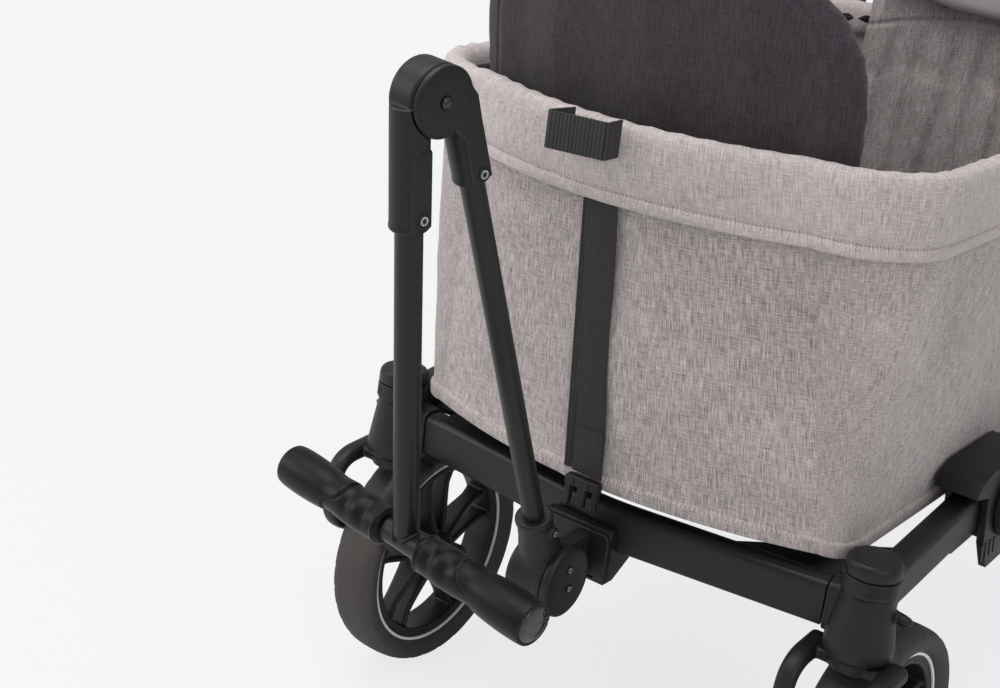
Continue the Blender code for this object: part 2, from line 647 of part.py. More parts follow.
# Fold block: two cheeks round the rail's eye, and a pocket for the centre rail
def fold_block(end_name, side_name):
    side, end = SIDES[side_name], ENDS[end_name]
    name = f"fold_block_{end_name}_{side_name}"
    fold_y = FOLD_Y[end_name]
    half = RAIL_WIDTH / 2 + RUN_GAP / 2
    inner, outer = CASTER_X - half - BLOCK_CHEEK, CASTER_X + half + BLOCK_CHEEK
    outline = [
        (BLOCK_NOSE, 0.022), (BLOCK_NOSE - 0.010, 0.036), (BLOCK_NOSE - 0.035, BLOCK_TOP),
        (-BLOCK_TAIL + 0.022, BLOCK_TOP), (-BLOCK_TAIL, BLOCK_TOP - 0.018), (-BLOCK_TAIL, -0.043),
        (-BLOCK_TAIL + 0.022, -BLOCK_BOTTOM + 0.004), (0.030, -BLOCK_BOTTOM), (0.053, -0.040), (0.066, 0.014),
    ]
    outline = [(fold_y + end * u, HUB_Z + v) for u, v in outline]
    block = slab(name, outline, side * inner, side * outer, PLASTIC)
    rail_rise = (HUB_Z - RAIL_FRONT_Z) / (WHEELBASE / 2 - HUB_SPACING / 2)
    clear = RAIL_HEIGHT / 2 + RUN_GAP
    slot_outline = [
        (-0.002, clear + 0.0008), (0.180, clear + 0.0008 - 0.180 * rail_rise), (0.180, -0.120),
        (-clear, -0.120),
        (-clear, 0),
    ]
    slot_outline = [(fold_y + end * u, HUB_Z + v) for u, v in slot_outline]
    slot = slab(name + "_slot", slot_outline, side * (CASTER_X - half), side * (CASTER_X + half))
    round_end = rod(
        name + "_round", (side * (CASTER_X - half), fold_y, HUB_Z), (side * (CASTER_X + half), fold_y, HUB_Z),
        clear, sides=24,
    )
    pocket_path = [
        Vector((side * CASTER_X, fold_y - end * (CENTRE_RAIL_END - SEAT_GAP), HUB_Z)),
        Vector((side * CASTER_X, fold_y - end * (BLOCK_TAIL + 0.02), HUB_Z)),
    ]
    wall = 2 * SEAT_GAP
    pocket = sweep(
        name + "_pocket", pocket_path, crowned_section(RAIL_WIDTH + wall, CENTRE_RAIL_HEIGHT + wall)
    )
    pin_hole = rod(
        name + "_pin_hole", (side * (inner - 0.01), fold_y, HUB_Z), (side * (outer + 0.01), fold_y, HUB_Z),
        FOLD_PIN_RADIUS + BORE_GAP,
    )
    cut(block, slot, round_end, pocket, pin_hole)
    face = outer + SEAT_GAP
    disc_name = f"fold_disc_{end_name}_{side_name}"
    disc = rod(
        disc_name, (side * face, fold_y, HUB_Z), (side * (face + DISC_THICKNESS), fold_y, HUB_Z), DISC_RADIUS,
        PLASTIC, sides=24, bevel=0.0018,
    )
    pin = rod(
        disc_name + "_pin", (side * inner, fold_y, HUB_Z), (side * (face + 0.004), fold_y, HUB_Z),
        FOLD_PIN_RADIUS,
    )
    unite(disc, pin)


def centre_frame():
    """The welded middle: two rails and the cross tubes under the floor."""
    reach = HUB_SPACING / 2 - CENTRE_RAIL_END
    section = crowned_section(RAIL_WIDTH, CENTRE_RAIL_HEIGHT)
    rails = []
    for side in SIDES.values():
        path = [
            Vector((side * CASTER_X, MIDDLE_Y - reach, HUB_Z)),
            Vector((side * CASTER_X, MIDDLE_Y + reach, HUB_Z)),
        ]
        name, finish = ("centre_frame", COATED) if side > 0 else ("centre_frame_left", None)
        rails.append(sweep(name, path, section, finish))
    tubes = []
    for i in (-1, 0, 1):
        y = MIDDLE_Y + i * CROSS_TUBE_SPACING
        end_x = CASTER_X + 0.002
        path = rounded_path([
            (-end_x, y, HUB_Z), (-end_x + 0.030, y, CROSS_TUBE_Z), (end_x - 0.030, y, CROSS_TUBE_Z),
            (end_x, y, HUB_Z),
        ], 0.016, 2)
        tubes.append(tube(f"cross_tube_{i}", path, CROSS_TUBE_RADIUS, resolution=1))
    unite(rails[0], *tubes, rails[1])


def rim_post(side_name):
    side = SIDES[side_name]
    name = "rim_post_" + side_name
    foot_z = CROSS_TUBE_Z + CROSS_TUBE_RADIUS + SEAT_GAP
    post = tube(name, mirrored(side, [
        (POST_FOOT_X, MIDDLE_Y, foot_z), (POST_HEAD_X, MIDDLE_Y, RIM_HINGE_Z),
    ]), POST_RADIUS, COATED)
    plate_high = HOOP_X - HOOP_RADIUS - RUN_GAP
    half_y = RIM_HINGE_SPACING / 2 + 0.011
    plate_faces = (side * plate_high, side * (plate_high - RIM_HINGE_PLATE))
    plate = box(
        name + "_plate", (min(plate_faces), MIDDLE_Y - half_y, RIM_HINGE_Z - 0.014),
        (max(plate_faces), MIDDLE_Y + half_y, RIM_HINGE_Z + 0.012), bevel=0.003,
    )
    pins = []
    for end in ENDS.values():
        y = MIDDLE_Y + end * RIM_HINGE_SPACING / 2
        pins.append(rod(
            f"{name}_pin_{end}", (side * (plate_high - 0.004), y, RIM_HINGE_Z),
            (side * (HOOP_X + HOOP_RADIUS + 0.002), y, RIM_HINGE_Z), RIM_PIN_RADIUS, sides=16,
        ))
    unite(post, plate, *pins)


# The basket's outline at any height, from the bottom hem to the rim
def end_outline(half_width, bow, corner_radius, corner_y):
    """Half of the plan, from the middle of the front end round to the middle of the right side."""
    flat_y = -WHEELBASE / 2 - corner_y
    centre = Vector((half_width - corner_radius, flat_y + corner_radius))
    points = [(share * centre.x, flat_y - bow * (1 - share ** 2)) for share in (0, 0.25, 0.5, 0.75, 1.0)]
    for step in (1, 2, 3, 4, 5):
        turn = math.radians(-90 + 18 * step)
        points.append((centre.x + corner_radius * math.cos(turn), centre.y + corner_radius * math.sin(turn)))
    points += [(half_width, flat_y * 0.5), (half_width, 0)]
    return points


def whole_outline(quarter):
    """The quarter plan mirrored to the other side and the other end."""
    right = quarter + [(x, -y) for x, y in reversed(quarter[:-1])]
    return right + [(-x, y) for x, y in reversed(right[1:-1])]


BOTTOM_PLAN = whole_outline(end_outline(
    BOTTOM_HALF_WIDTH, BOTTOM_END_BOW, BOTTOM_CORNER_RADIUS, BOTTOM_CORNER_Y))
RIM_PLAN = whole_outline(end_outline(RIM_HALF_WIDTH, RIM_END_BOW, RIM_CORNER_RADIUS, RIM_CORNER_Y))
CUFF_BOTTOM_Z = BASKET_TOP_Z - CUFF_DEPTH


def basket_ring(z, proud=0.0):
    """The basket's outer face at height z, moved out by proud."""
    share = (z - BASKET_BOTTOM_Z) / (BASKET_TOP_Z - BASKET_BOTTOM_Z)
    plan = [Vector(a).lerp(Vector(b), share) for a, b in zip(BOTTOM_PLAN, RIM_PLAN)]
    ring = []
    for i, point in enumerate(plan):
        along = plan[(i + 1) % len(plan)] - plan[i - 1]
        out = Vector((along.y, -along.x)).normalized()
        ring.append(Vector((point.x + out.x * proud, MIDDLE_Y + point.y + out.y * proud, z)))
    return ring


def end_face_y(z):
    """The basket's front face on the centre line at height z."""
    return basket_ring(z)[0].y


def basket_shell():
    rings = [
        basket_ring(BASKET_BOTTOM_Z), basket_ring(CUFF_BOTTOM_Z),
        basket_ring(CUFF_BOTTOM_Z + 0.0015, CUFF_PROUD), basket_ring(BASKET_TOP_Z - 0.004, CUFF_PROUD),
        basket_ring(BASKET_TOP_Z, CUFF_PROUD - 0.003),
    ]
    inner = [
        basket_ring(BASKET_TOP_Z, -CLOTH + 0.001), basket_ring(BASKET_TOP_Z - 0.004, -CLOTH),
        basket_ring(BASKET_BOTTOM_Z, -CLOTH),
    ]
    rings += inner
    bm = bmesh.new()
    loops = [[bm.verts.new(point) for point in ring] for ring in rings]
    count = len(loops[0])
    for one, two in zip(loops, loops[1:] + loops[:1]):
        for i in range(count):
            j = (i + 1) % count
            bm.faces.new((one[i], one[j], two[j], two[i]))
    add_object("basket", bm, HEATHER)


def basket_floor():
    low = CROSS_TUBE_Z + CROSS_TUBE_RADIUS + SEAT_GAP
    quarter = end_outline(FLOOR_HALF_WIDTH, BOTTOM_END_BOW * 0.85, BOTTOM_CORNER_RADIUS, -FLOOR_END_GAP)
    outline = [(x, MIDDLE_Y + y) for x, y in whole_outline(quarter)]
    slab("basket_floor", outline, low, low + FLOOR_THICKNESS, CHARCOAL, axis="Z")


def rim_hoop(end_name):
    end = ENDS[end_name]
    hinge_y = MIDDLE_Y + end * RIM_HINGE_SPACING / 2
    ring = basket_ring(RIM_HINGE_Z + 0.008, -HOOP_INSET)
    front = ring[0:11:2]
    corner_points = [Vector((p.x, MIDDLE_Y + (p.y - MIDDLE_Y) * (1 if end < 0 else -1), 0)) for p in front]
    half_path = []
    for p in reversed(corner_points):
        run = (abs(p.y - MIDDLE_Y) - RIM_HINGE_SPACING / 2) / (WHEELBASE / 2)
        half_path.append(Vector((min(p.x, HOOP_X), p.y, RIM_HINGE_Z + 0.010 * max(run, 0))))
    half_path[0] = Vector((HOOP_X, half_path[0].y, half_path[0].z))
    start = Vector((HOOP_X, hinge_y, RIM_HINGE_Z))
    path = [start] + half_path
    other = [Vector((-p.x, p.y, p.z)) for p in reversed(path[:-1])]
    hoop = tube(end_name + "_rim_hoop", path + other, HOOP_RADIUS, COATED, resolution=1)
    eyes = []
    bores = []
    for side in SIDES.values():
        low, high = side * (HOOP_X - HOOP_RADIUS), side * (HOOP_X + HOOP_RADIUS)
        eyes.append(rod(
            f"{hoop.name}_eye_{side}", (low - side * 0.0004, hinge_y, RIM_HINGE_Z),
            (high + side * 0.0004, hinge_y, RIM_HINGE_Z), RIM_EYE_RADIUS, sides=20,
        ))
        bores.append(rod(
            f"{hoop.name}_bore_{side}", (low - side * 0.01, hinge_y, RIM_HINGE_Z),
            (high + side * 0.01, hinge_y, RIM_HINGE_Z), RIM_PIN_RADIUS + BORE_GAP, sides=16,
        ))
    cut(unite(hoop, *eyes), *bores)


def seat_back(end_name, finish):
    """A quilted board with a round-cornered top, bowed like the basket's end and leaning out over the rim."""
    end = ENDS[end_name]
    lean = math.radians(SEAT_LEAN)
    half = SEAT_WIDTH / 2
    height = (SEAT_TOP_Z - SEAT_BOTTOM_Z) / math.cos(lean)
    up = Vector((0, end * math.sin(lean), math.cos(lean)))
    out = Vector((0, end * math.cos(lean), -math.sin(lean)))
    foot = Vector((0, MIDDLE_Y + end * (WHEELBASE / 2 + BOTTOM_CORNER_Y - SEAT_SETBACK), SEAT_BOTTOM_Z))
    columns = [math.sin(math.radians(15 * i)) for i in range(-6, 7)]
    rows = ((0, 0), (0.05, 0.85), (0.46, 1), (0.5, 0.4), (0.54, 1), (0.95, 0.85), (1, 0))
    rings = []
    for number, column in enumerate(columns):
        x = half * column
        past = max(abs(x) - (half - SEAT_CORNER_RADIUS), 0)
        top = height - SEAT_CORNER_RADIUS + math.sqrt(max(SEAT_CORNER_RADIUS ** 2 - past ** 2, 0))
        bow = SEAT_BOW * (1 - column ** 2)
        channel = SEAT_CHANNEL * (number % 2)
        ends_here = number in (0, len(columns) - 1)
        ring = []
        for face in (1, -1):
            for share, plump in rows[::face]:
                thick = SEAT_THICKNESS * (0.45 + 0.55 * plump) * (0.5 if ends_here else 1) / 2
                sunk = channel * (plump > 0.5)
                ring.append(foot + Vector((x, 0, 0)) + up * top * share + out * (bow + face * (thick - sunk)))
        rings.append(ring)
    loft(end_name + "_seat_back", rings, finish)


def strap_and_buckle():
    top_z = CUFF_BOTTOM_Z - STRAP_GAP_UNDER_CUFF
    top_y = end_face_y(top_z) - STRAP_STANDOFF
    end_y = end_face_y(STRAP_END_Z) - STRAP_STANDOFF
    half = STRAP_WIDTH / 2
    outline = [
        (top_y, top_z), (end_y, STRAP_END_Z), (end_y - STRAP_THICKNESS, STRAP_END_Z),
        (top_y - STRAP_THICKNESS, top_z),
    ]
    slab("closing_strap", outline, -half, half, WEBBING)
    buckle_top = STRAP_END_Z - SEAT_GAP
    buckle_y = end_y - BUCKLE_THICKNESS / 2
    bottom = buckle_top - BUCKLE_HEIGHT
    box(
        "strap_buckle", (-BUCKLE_WIDTH / 2, buckle_y - BUCKLE_THICKNESS / 2 - 0.006, bottom),
        (BUCKLE_WIDTH / 2, buckle_y + BUCKLE_THICKNESS / 2 - 0.006, buckle_top), PLASTIC, bevel=0.003,
    )


def loop_tab():
    face_y = basket_ring(LOOP_Z, CUFF_PROUD)[0].y - SEAT_GAP - 0.0012
    half = LOOP_LENGTH / 2
    outline = [
        (-half, face_y), (-half - 0.004, face_y - LOOP_DEPTH), (half, face_y - LOOP_DEPTH * 0.75),
        (half, face_y),
        (half - LOOP_THICKNESS, face_y), (half - LOOP_THICKNESS, face_y - LOOP_DEPTH * 0.75 + LOOP_THICKNESS),
        (-half - 0.001, face_y - LOOP_DEPTH + LOOP_THICKNESS), (-half + LOOP_THICKNESS, face_y),
    ]
    outline = [(LOOP_X + x, y) for x, y in outline]
    slab("loop_tab", outline, LOOP_Z - STRAP_WIDTH / 2, LOOP_Z + STRAP_WIDTH / 2, WEBBING, axis="Z")


# Pull bar
PULL_HUB = Vector((0, CASTER_Y + PULL_HUB_Y, PULL_HUB_Z))
KNEE = Vector((0, CASTER_Y + KNEE_Y, KNEE_Z))
PULL_UP = Vector((0, -LEAN_SIN, LEAN_COS))
PULL_BEHIND = Vector((0, LEAN_COS, LEAN_SIN))
HANG = Vector((0, math.sin(math.radians(UPPER_TUBE_LEAN)), -math.cos(math.radians(UPPER_TUBE_LEAN))))
HANG_FRONT = Vector((0, HANG.z, -HANG.y))


def pull_bar_bracket():
    """A saddle that grips the bar from below and in front, with a tongue for the hub."""
    name = "pull_bar_bracket"
    bar_y = bar_line(-1, 0.030).y
    front_y = bar_y - BAR_DEPTH / 2 - SADDLE_WALL
    bracket = slab(name, [
        (front_y, BAR_BOTTOM_Z + BAR_HEIGHT * 0.55), (front_y - 0.004, BAR_BOTTOM_Z),
        (front_y - 0.004, BAR_BOTTOM_Z - SADDLE_DROP), (front_y + 0.012, BAR_BOTTOM_Z - SADDLE_DROP),
        (bar_y + BAR_DEPTH / 2 + SADDLE_WALL, BAR_BOTTOM_Z - 0.008),
        (bar_y + BAR_DEPTH / 2 + SADDLE_WALL, BAR_BOTTOM_Z + BAR_HEIGHT * 0.75),
    ], SADDLE_LEFT_X, SADDLE_RIGHT_X, PLASTIC)
    seat_path = rounded_path([bar_line(-1, -0.09), bar_line(-1, 0), bar_line(-1, 0.09)], BAR_BEND_RADIUS)
    wall = 2 * SEAT_GAP
    seat = sweep(name + "_seat", seat_path, crowned_section(BAR_DEPTH + wall, BAR_HEIGHT + wall))
    above = box(
        name + "_above",
        (SADDLE_LEFT_X - 0.01, bar_y - BAR_DEPTH / 2 - 0.004, BAR_BOTTOM_Z + BAR_HEIGHT * 0.5),
        (SADDLE_RIGHT_X + 0.01, bar_y + BAR_DEPTH / 2 + 0.004, BAR_BOTTOM_Z + BAR_HEIGHT * 2),
    )
    half = TONGUE_WIDTH / 2
    eye = rod(
        name + "_eye", (-half, PULL_HUB.y, PULL_HUB.z), (half, PULL_HUB.y, PULL_HUB.z), TONGUE_RADIUS,
        sides=24,
    )
    tongue = slab(name + "_tongue", [
        (PULL_HUB.y, PULL_HUB.z - TONGUE_RADIUS), (front_y + 0.006, BAR_BOTTOM_Z - SADDLE_DROP + 0.002),
        (front_y + 0.006, BAR_BOTTOM_Z + 0.018), (PULL_HUB.y, PULL_HUB.z + TONGUE_RADIUS),
    ], -half, half)
    windows = []
    for i in range(3):
        z = BAR_BOTTOM_Z - SADDLE_DROP + 0.003 + 0.0085 * i
        windows.append(box(
            f"{name}_window_{i}", (SADDLE_RIGHT_X - 0.020, front_y - 0.02, z),
            (SADDLE_RIGHT_X - 0.013, front_y + 0.006, z + 0.006),
        ))
    cut(unite(cut(bracket, seat, above), eye, tongue), *windows)


def pull_hub():
    """A drum whose two cheeks close on the bracket's tongue, with a socket for the tube."""
    name = "pull_hub"
    half = PULL_HUB_WIDTH / 2
    drum = rod(
        name, (-half, PULL_HUB.y, PULL_HUB.z), (half, PULL_HUB.y, PULL_HUB.z), PULL_HUB_RADIUS - 0.001,
        PLASTIC,
        sides=24,
    )
    flange = rod(
        name + "_flange", (half - PULL_HUB_FLANGE, PULL_HUB.y, PULL_HUB.z),
        (half + PULL_HUB_FLANGE, PULL_HUB.y, PULL_HUB.z), PULL_HUB_RADIUS, sides=24, bevel=0.001,
    )
    socket = rod(
        name + "_socket", PULL_HUB + PULL_UP * 0.020, PULL_HUB + PULL_UP * LOWER_SOCKET_LENGTH,
        LOWER_SOCKET_RADIUS + 0.003, end_radius=LOWER_SOCKET_RADIUS,
    )
    room = TONGUE_WIDTH / 2 + RUN_GAP
    outline = []
    for turn in range(0, 360, 15):
        swings = turn <= SWING_TOP or turn >= 360 - SWING_BOTTOM
        reach = 2 * PULL_HUB_RADIUS if swings else TONGUE_RADIUS + 2 * RUN_GAP
        outline.append((
            PULL_HUB.y + reach * math.cos(math.radians(turn)),
            PULL_HUB.z + reach * math.sin(math.radians(turn)),
        ))
    swing = slab(name + "_swing", outline, -room, room)
    bore = rod(
        name + "_tube_bore", PULL_HUB + PULL_UP * (LOWER_SOCKET_LENGTH - SOCKET_DEPTH),
        PULL_HUB + PULL_UP * (LOWER_SOCKET_LENGTH + 0.01), LOWER_TUBE_RADIUS + BORE_GAP,
    )
    cut(unite(drum, flange, socket), swing, bore)


def knee_socket(name, start, along, length, tube_radius, rib_from):
    """A round socket with a flat rib down its right side, and the bore for its tube."""
    socket = rod(
        name + "_socket", start, start + along * length, tube_radius + KNEE_SOCKET_WALL, bevel=0.001
    )
    across = Vector((0, along.z, -along.y)) * RIB_HALF_WIDTH
    corners = [
        start + along * rib_from + across, start + along * (length - 0.005) + across * 0.8,
        start + along * (length - 0.005) - across * 0.8, start + along * rib_from - across,
    ]
    rib = slab(name + "_rib", [(p.y, p.z) for p in corners], KNEE_BARREL_X - 0.003, KNEE_PLATE_X)
    bore = rod(
        name + "_tube_bore", start + along * (length - SOCKET_DEPTH), start + along * (length + 0.01),
        tube_radius + SEAT_GAP,
    )
    return socket, rib, bore


def knee_drum(name, low_x, high_x, radius, sides=24, finish=None):
    """A cylinder round the knee bolt."""
    return rod(name, (low_x, KNEE.y, KNEE.z), (high_x, KNEE.y, KNEE.z), radius, finish, sides=sides)


def knee():
    """The fold in the pull bar: a barrel on the upper tube turns beside a plate on the lower one."""
    down = -PULL_UP
    lower_start = KNEE + PULL_BEHIND * KNEE_OFFSET + down * SEAT_GAP
    plate_low = KNEE_BARREL_X + RUN_GAP / 2
    lower = knee_drum("knee_lower", plate_low, KNEE_PLATE_X, KNEE_RADIUS, finish=PLASTIC)
    web = slab("knee_lower_web", [(p.y, p.z) for p in (
        KNEE + PULL_BEHIND * KNEE_RADIUS * 0.97,
        KNEE + PULL_BEHIND * (KNEE_OFFSET + RIB_HALF_WIDTH) + down * 0.010,
        KNEE + PULL_BEHIND * (KNEE_OFFSET + RIB_HALF_WIDTH * 0.95) + down * 0.045,
        KNEE + PULL_BEHIND * (KNEE_OFFSET - RIB_HALF_WIDTH * 0.95) + down * 0.045,
        KNEE + PULL_BEHIND * 0.004 + down * KNEE_RADIUS * 0.95, KNEE,
    )], plate_low, KNEE_PLATE_X - 0.0004)
    socket, rib, bore = knee_socket(
        "knee_lower", lower_start, down, KNEE_LOWER_LENGTH, LOWER_TUBE_RADIUS, 0.035,
    )
    barrel_room = knee_drum("knee_lower_room", KNEE_LEFT_X - 0.01, plate_low, KNEE_RADIUS + 2 * RUN_GAP)
    bolt = knee_drum("knee_lower_bolt", KNEE_LEFT_X - 0.002, KNEE_PLATE_X - 0.002, KNEE_BOLT_RADIUS, sides=16)
    head = knee_drum("knee_lower_head", KNEE_PLATE_X - 0.001, KNEE_PLATE_X + 0.0028, KNEE_BOLT_HEAD, sides=16)
    cut(socket, barrel_room)
    cut(rib, barrel_room)
    unite(cut(unite(lower, web, socket, rib), bore), bolt, head)

    upper_start = KNEE + HANG_FRONT * KNEE_UPPER_OFFSET
    upper = knee_drum("knee_upper", KNEE_LEFT_X, KNEE_BARREL_X, KNEE_RADIUS, finish=PLASTIC)
    socket_radius = UPPER_TUBE_RADIUS + KNEE_SOCKET_WALL
    tangent = HANG_FRONT * 0.5 - HANG * math.sqrt(0.75)
    crown = slab("knee_upper_crown", [(p.y, p.z) for p in (
        KNEE, KNEE + tangent * KNEE_RADIUS * 0.98, KNEE + HANG_FRONT * KNEE_RADIUS + HANG * RUN_GAP,
        upper_start + HANG_FRONT * socket_radius * 0.99 + HANG * 2 * RUN_GAP,
        upper_start + HANG_FRONT * socket_radius * 0.94 + HANG * 0.030,
        upper_start - HANG_FRONT * socket_radius * 0.5 + HANG * 0.045,
    )], KNEE_LEFT_X + 0.0007, KNEE_BARREL_X - 0.0007)
    socket, rib, bore = knee_socket(
        "knee_upper", upper_start, HANG, KNEE_UPPER_LENGTH, UPPER_TUBE_RADIUS, 0.036,
    )
    plate_room = knee_drum("knee_upper_room", KNEE_BARREL_X, 0.04, KNEE_RADIUS + 2 * RUN_GAP)
    bolt_hole = knee_drum(
        "knee_upper_bolt_hole", KNEE_LEFT_X - 0.01, 0.03, KNEE_BOLT_RADIUS + BORE_GAP, sides=16,
    )
    cut(unite(upper, crown, cut(socket, plate_room), rib), bore, bolt_hole)
    return upper_start, [lower, upper]


def pull_tubes(start):
    lower = rod(
        "pull_tube_lower", PULL_HUB + PULL_UP * (LOWER_SOCKET_LENGTH - SOCKET_DEPTH + SEAT_GAP),
        PULL_HUB + PULL_UP * (KNEE_RISE - KNEE_LOWER_LENGTH + SOCKET_DEPTH - 2 * SEAT_GAP),
        LOWER_TUBE_RADIUS, COATED,
        sides=20,
    )
    foot = start + HANG * (KNEE_UPPER_LENGTH + UPPER_TUBE_LENGTH)
    upper = rod(
        "pull_tube_upper", start + HANG * (KNEE_UPPER_LENGTH - SOCKET_DEPTH + SEAT_GAP), foot,
        UPPER_TUBE_RADIUS,
        COATED, sides=20,
    )
    cross = rod(
        "pull_tube_cross", foot - Vector((T_HALF_LENGTH, 0, 0)), foot + Vector((T_HALF_LENGTH, 0, 0)),
        T_TUBE_RADIUS,
        sides=20,
    )
    unite(upper, cross)
    made = [lower, upper]
    for side_name, side in SIDES.items():
        inner = foot + Vector((side * GRIP_INNER_X, 0, 0))
        outer = foot + Vector((side * (T_HALF_LENGTH + 0.006), 0, 0))
        grip = rod("grip_" + side_name, inner, outer, GRIP_RADIUS, PLASTIC, sides=20, bevel=0.004)
        room = rod(
            f"grip_room_{side_name}", inner - Vector((side * 0.01, 0, 0)),
            foot + Vector((side * (T_HALF_LENGTH + SEAT_GAP), 0, 0)), T_TUBE_RADIUS + SEAT_GAP, sides=20,
        )
        made.append(cut(grip, room))
    return made


def carry(obj, carrier):
    """Parents an object to a carrier, with every cutter and union piece that it is made from."""
    obj.parent = carrier
    for modifier in obj.modifiers:
        if modifier.type == "BOOLEAN":
            carry(modifier.object, carrier)


def pull_bar():
    pull_bar_bracket()
    pull_hub()
    start, pieces = knee()
    pieces += pull_tubes(start)
    twist = bpy.data.objects.new("pull_bar_twist_axis", None)
    wagon.objects.link(twist)
    turn = Matrix.Rotation(math.radians(-PULL_TWIST), 4, PULL_UP)
    twist.matrix_world = Matrix.Translation(PULL_HUB) @ turn @ Matrix.Translation(-PULL_HUB)
    for piece in pieces:
        carry(piece, twist)


# Rear end
def rear_corner(side_name):
    """The bracket that joins bar and rail and carries the axle on a leg inside the wheel."""
    side = SIDES[side_name]
    name = "rear_corner_" + side_name
    low_x, high_x = LEG_X - LEG_WIDTH / 2, CASTER_X + RAIL_WIDTH / 2 + COLLAR_WALL
    top = RAIL_FRONT_Z + RAIL_HEIGHT / 2 + COLLAR_WALL
    foot = BAR_BOTTOM_Z - COLLAR_WALL
    block = slab(name, [
        (REAR_AXLE_Y - REAR_BLOCK_HALF, foot), (REAR_AXLE_Y + REAR_BLOCK_HALF + 0.002, foot),
        (REAR_AXLE_Y + REAR_BLOCK_HALF + 0.002, top - 0.008), (REAR_AXLE_Y + REAR_BLOCK_HALF - 0.006, top),
        (REAR_AXLE_Y - REAR_BLOCK_HALF, top),
    ], side * (CASTER_X - RAIL_WIDTH / 2 - COLLAR_WALL), side * high_x, PLASTIC)
    bar_top = BAR_BOTTOM_Z + BAR_HEIGHT + COLLAR_WALL
    bar_block = slab(name + "_bar_block", [
        (REAR_AXLE_Y - REAR_BLOCK_HALF + 0.002, foot + 0.001), (REAR_AXLE_Y + REAR_BLOCK_HALF, foot + 0.001),
        (REAR_AXLE_Y + REAR_BLOCK_HALF, bar_top - 0.006), (REAR_AXLE_Y + REAR_BLOCK_HALF - 0.008, bar_top),
        (REAR_AXLE_Y - REAR_BLOCK_HALF + 0.002, bar_top),
    ], side * low_x, side * CASTER_X)
    leg_low, leg_high = side * low_x, side * (low_x + LEG_WIDTH)
    leg = slab(name + "_leg", [
        (REAR_AXLE_Y - 0.022, BAR_BOTTOM_Z + 0.004), (REAR_AXLE_Y - LEG_BOSS_RADIUS * 0.9, AXLE_Z),
        (REAR_AXLE_Y + LEG_BOSS_RADIUS * 0.9, AXLE_Z),
        (REAR_AXLE_Y + PEDAL_Y + 0.012, AXLE_Z + PEDAL_Z - 0.012),
        (REAR_AXLE_Y + PEDAL_Y + 0.012, AXLE_Z + PEDAL_Z + 0.014),
        (REAR_AXLE_Y + 0.024, BAR_BOTTOM_Z + 0.004),
    ], leg_low, leg_high)
    boss = rod(
        name + "_boss", (leg_low, REAR_AXLE_Y, AXLE_Z), (leg_high, REAR_AXLE_Y, AXLE_Z), LEG_BOSS_RADIUS,
    )
    axle_hole = rod(
        name + "_axle_hole", (leg_low - side * 0.01, REAR_AXLE_Y, AXLE_Z),
        (leg_high + side * 0.01, REAR_AXLE_Y, AXLE_Z),
        AXLE_RADIUS + BORE_GAP,
    )
    pedal_y, pedal_z = REAR_AXLE_Y + PEDAL_Y, AXLE_Z + PEDAL_Z
    pedal_hole = rod(
        name + "_pedal_hole", (leg_low - side * 0.01, pedal_y, pedal_z),
        (leg_high - side * 0.006, pedal_y, pedal_z),
        PEDAL_ROD_RADIUS + BORE_GAP,
    )
    stem_seat = rod(
        name + "_stem_seat", (side * STEM_X, REAR_AXLE_Y + STEM_FOOT_Y, top - 0.010),
        (side * STEM_X, REAR_AXLE_Y + STEM_FOOT_Y, top + 0.012), STEM_TUBE_RADIUS + 0.006,
    )
    stem_hole = rod(
        name + "_stem_hole", (side * STEM_X, REAR_AXLE_Y + STEM_FOOT_Y, top - 0.008),
        (side * STEM_X, REAR_AXLE_Y + STEM_FOOT_Y, top + 0.03), STEM_TUBE_RADIUS + SEAT_GAP,
    )
    cut(unite(block, bar_block, leg, boss, stem_seat), axle_hole, pedal_hole, stem_hole)
    return top


def rear_end():
    crossbar("rear", 1, LEG_X - LEG_WIDTH / 2 - SEAT_GAP - 0.0035)
    for side_name, side in SIDES.items():
        rail("rear", side_name, REAR_BLOCK_HALF + SEAT_GAP)
        top = rear_corner(side_name)
        wheel("rear_wheel_" + side_name, side * CASTER_X, REAR_AXLE_Y)
        handle_stem(side_name, top)
    reach = CASTER_X + HUB_WIDTH / 2 + 0.006
    rod(
        "rear_axle", (-reach, REAR_AXLE_Y, AXLE_Z), (reach, REAR_AXLE_Y, AXLE_Z), AXLE_RADIUS, STEEL,
        bevel=0.001,
    )
    pedal_y, pedal_z = REAR_AXLE_Y + PEDAL_Y, AXLE_Z + PEDAL_Z
    rod_half = LEG_X - LEG_WIDTH / 2 + 0.010
    pedal = rod(
        "brake_pedal", (-rod_half, pedal_y, pedal_z), (rod_half, pedal_y, pedal_z), PEDAL_ROD_RADIUS, STEEL,
    )
    foot = box(
        "brake_pedal_foot",
        (PEDAL_FOOT_X, pedal_y - PEDAL_ROD_RADIUS * 0.55, pedal_z - PEDAL_ROD_RADIUS * 0.53),
        (PEDAL_FOOT_X + PEDAL_FOOT_WIDTH, pedal_y + PEDAL_FOOT_REACH, pedal_z + PEDAL_ROD_RADIUS * 0.78),
    )
    unite(pedal, foot)


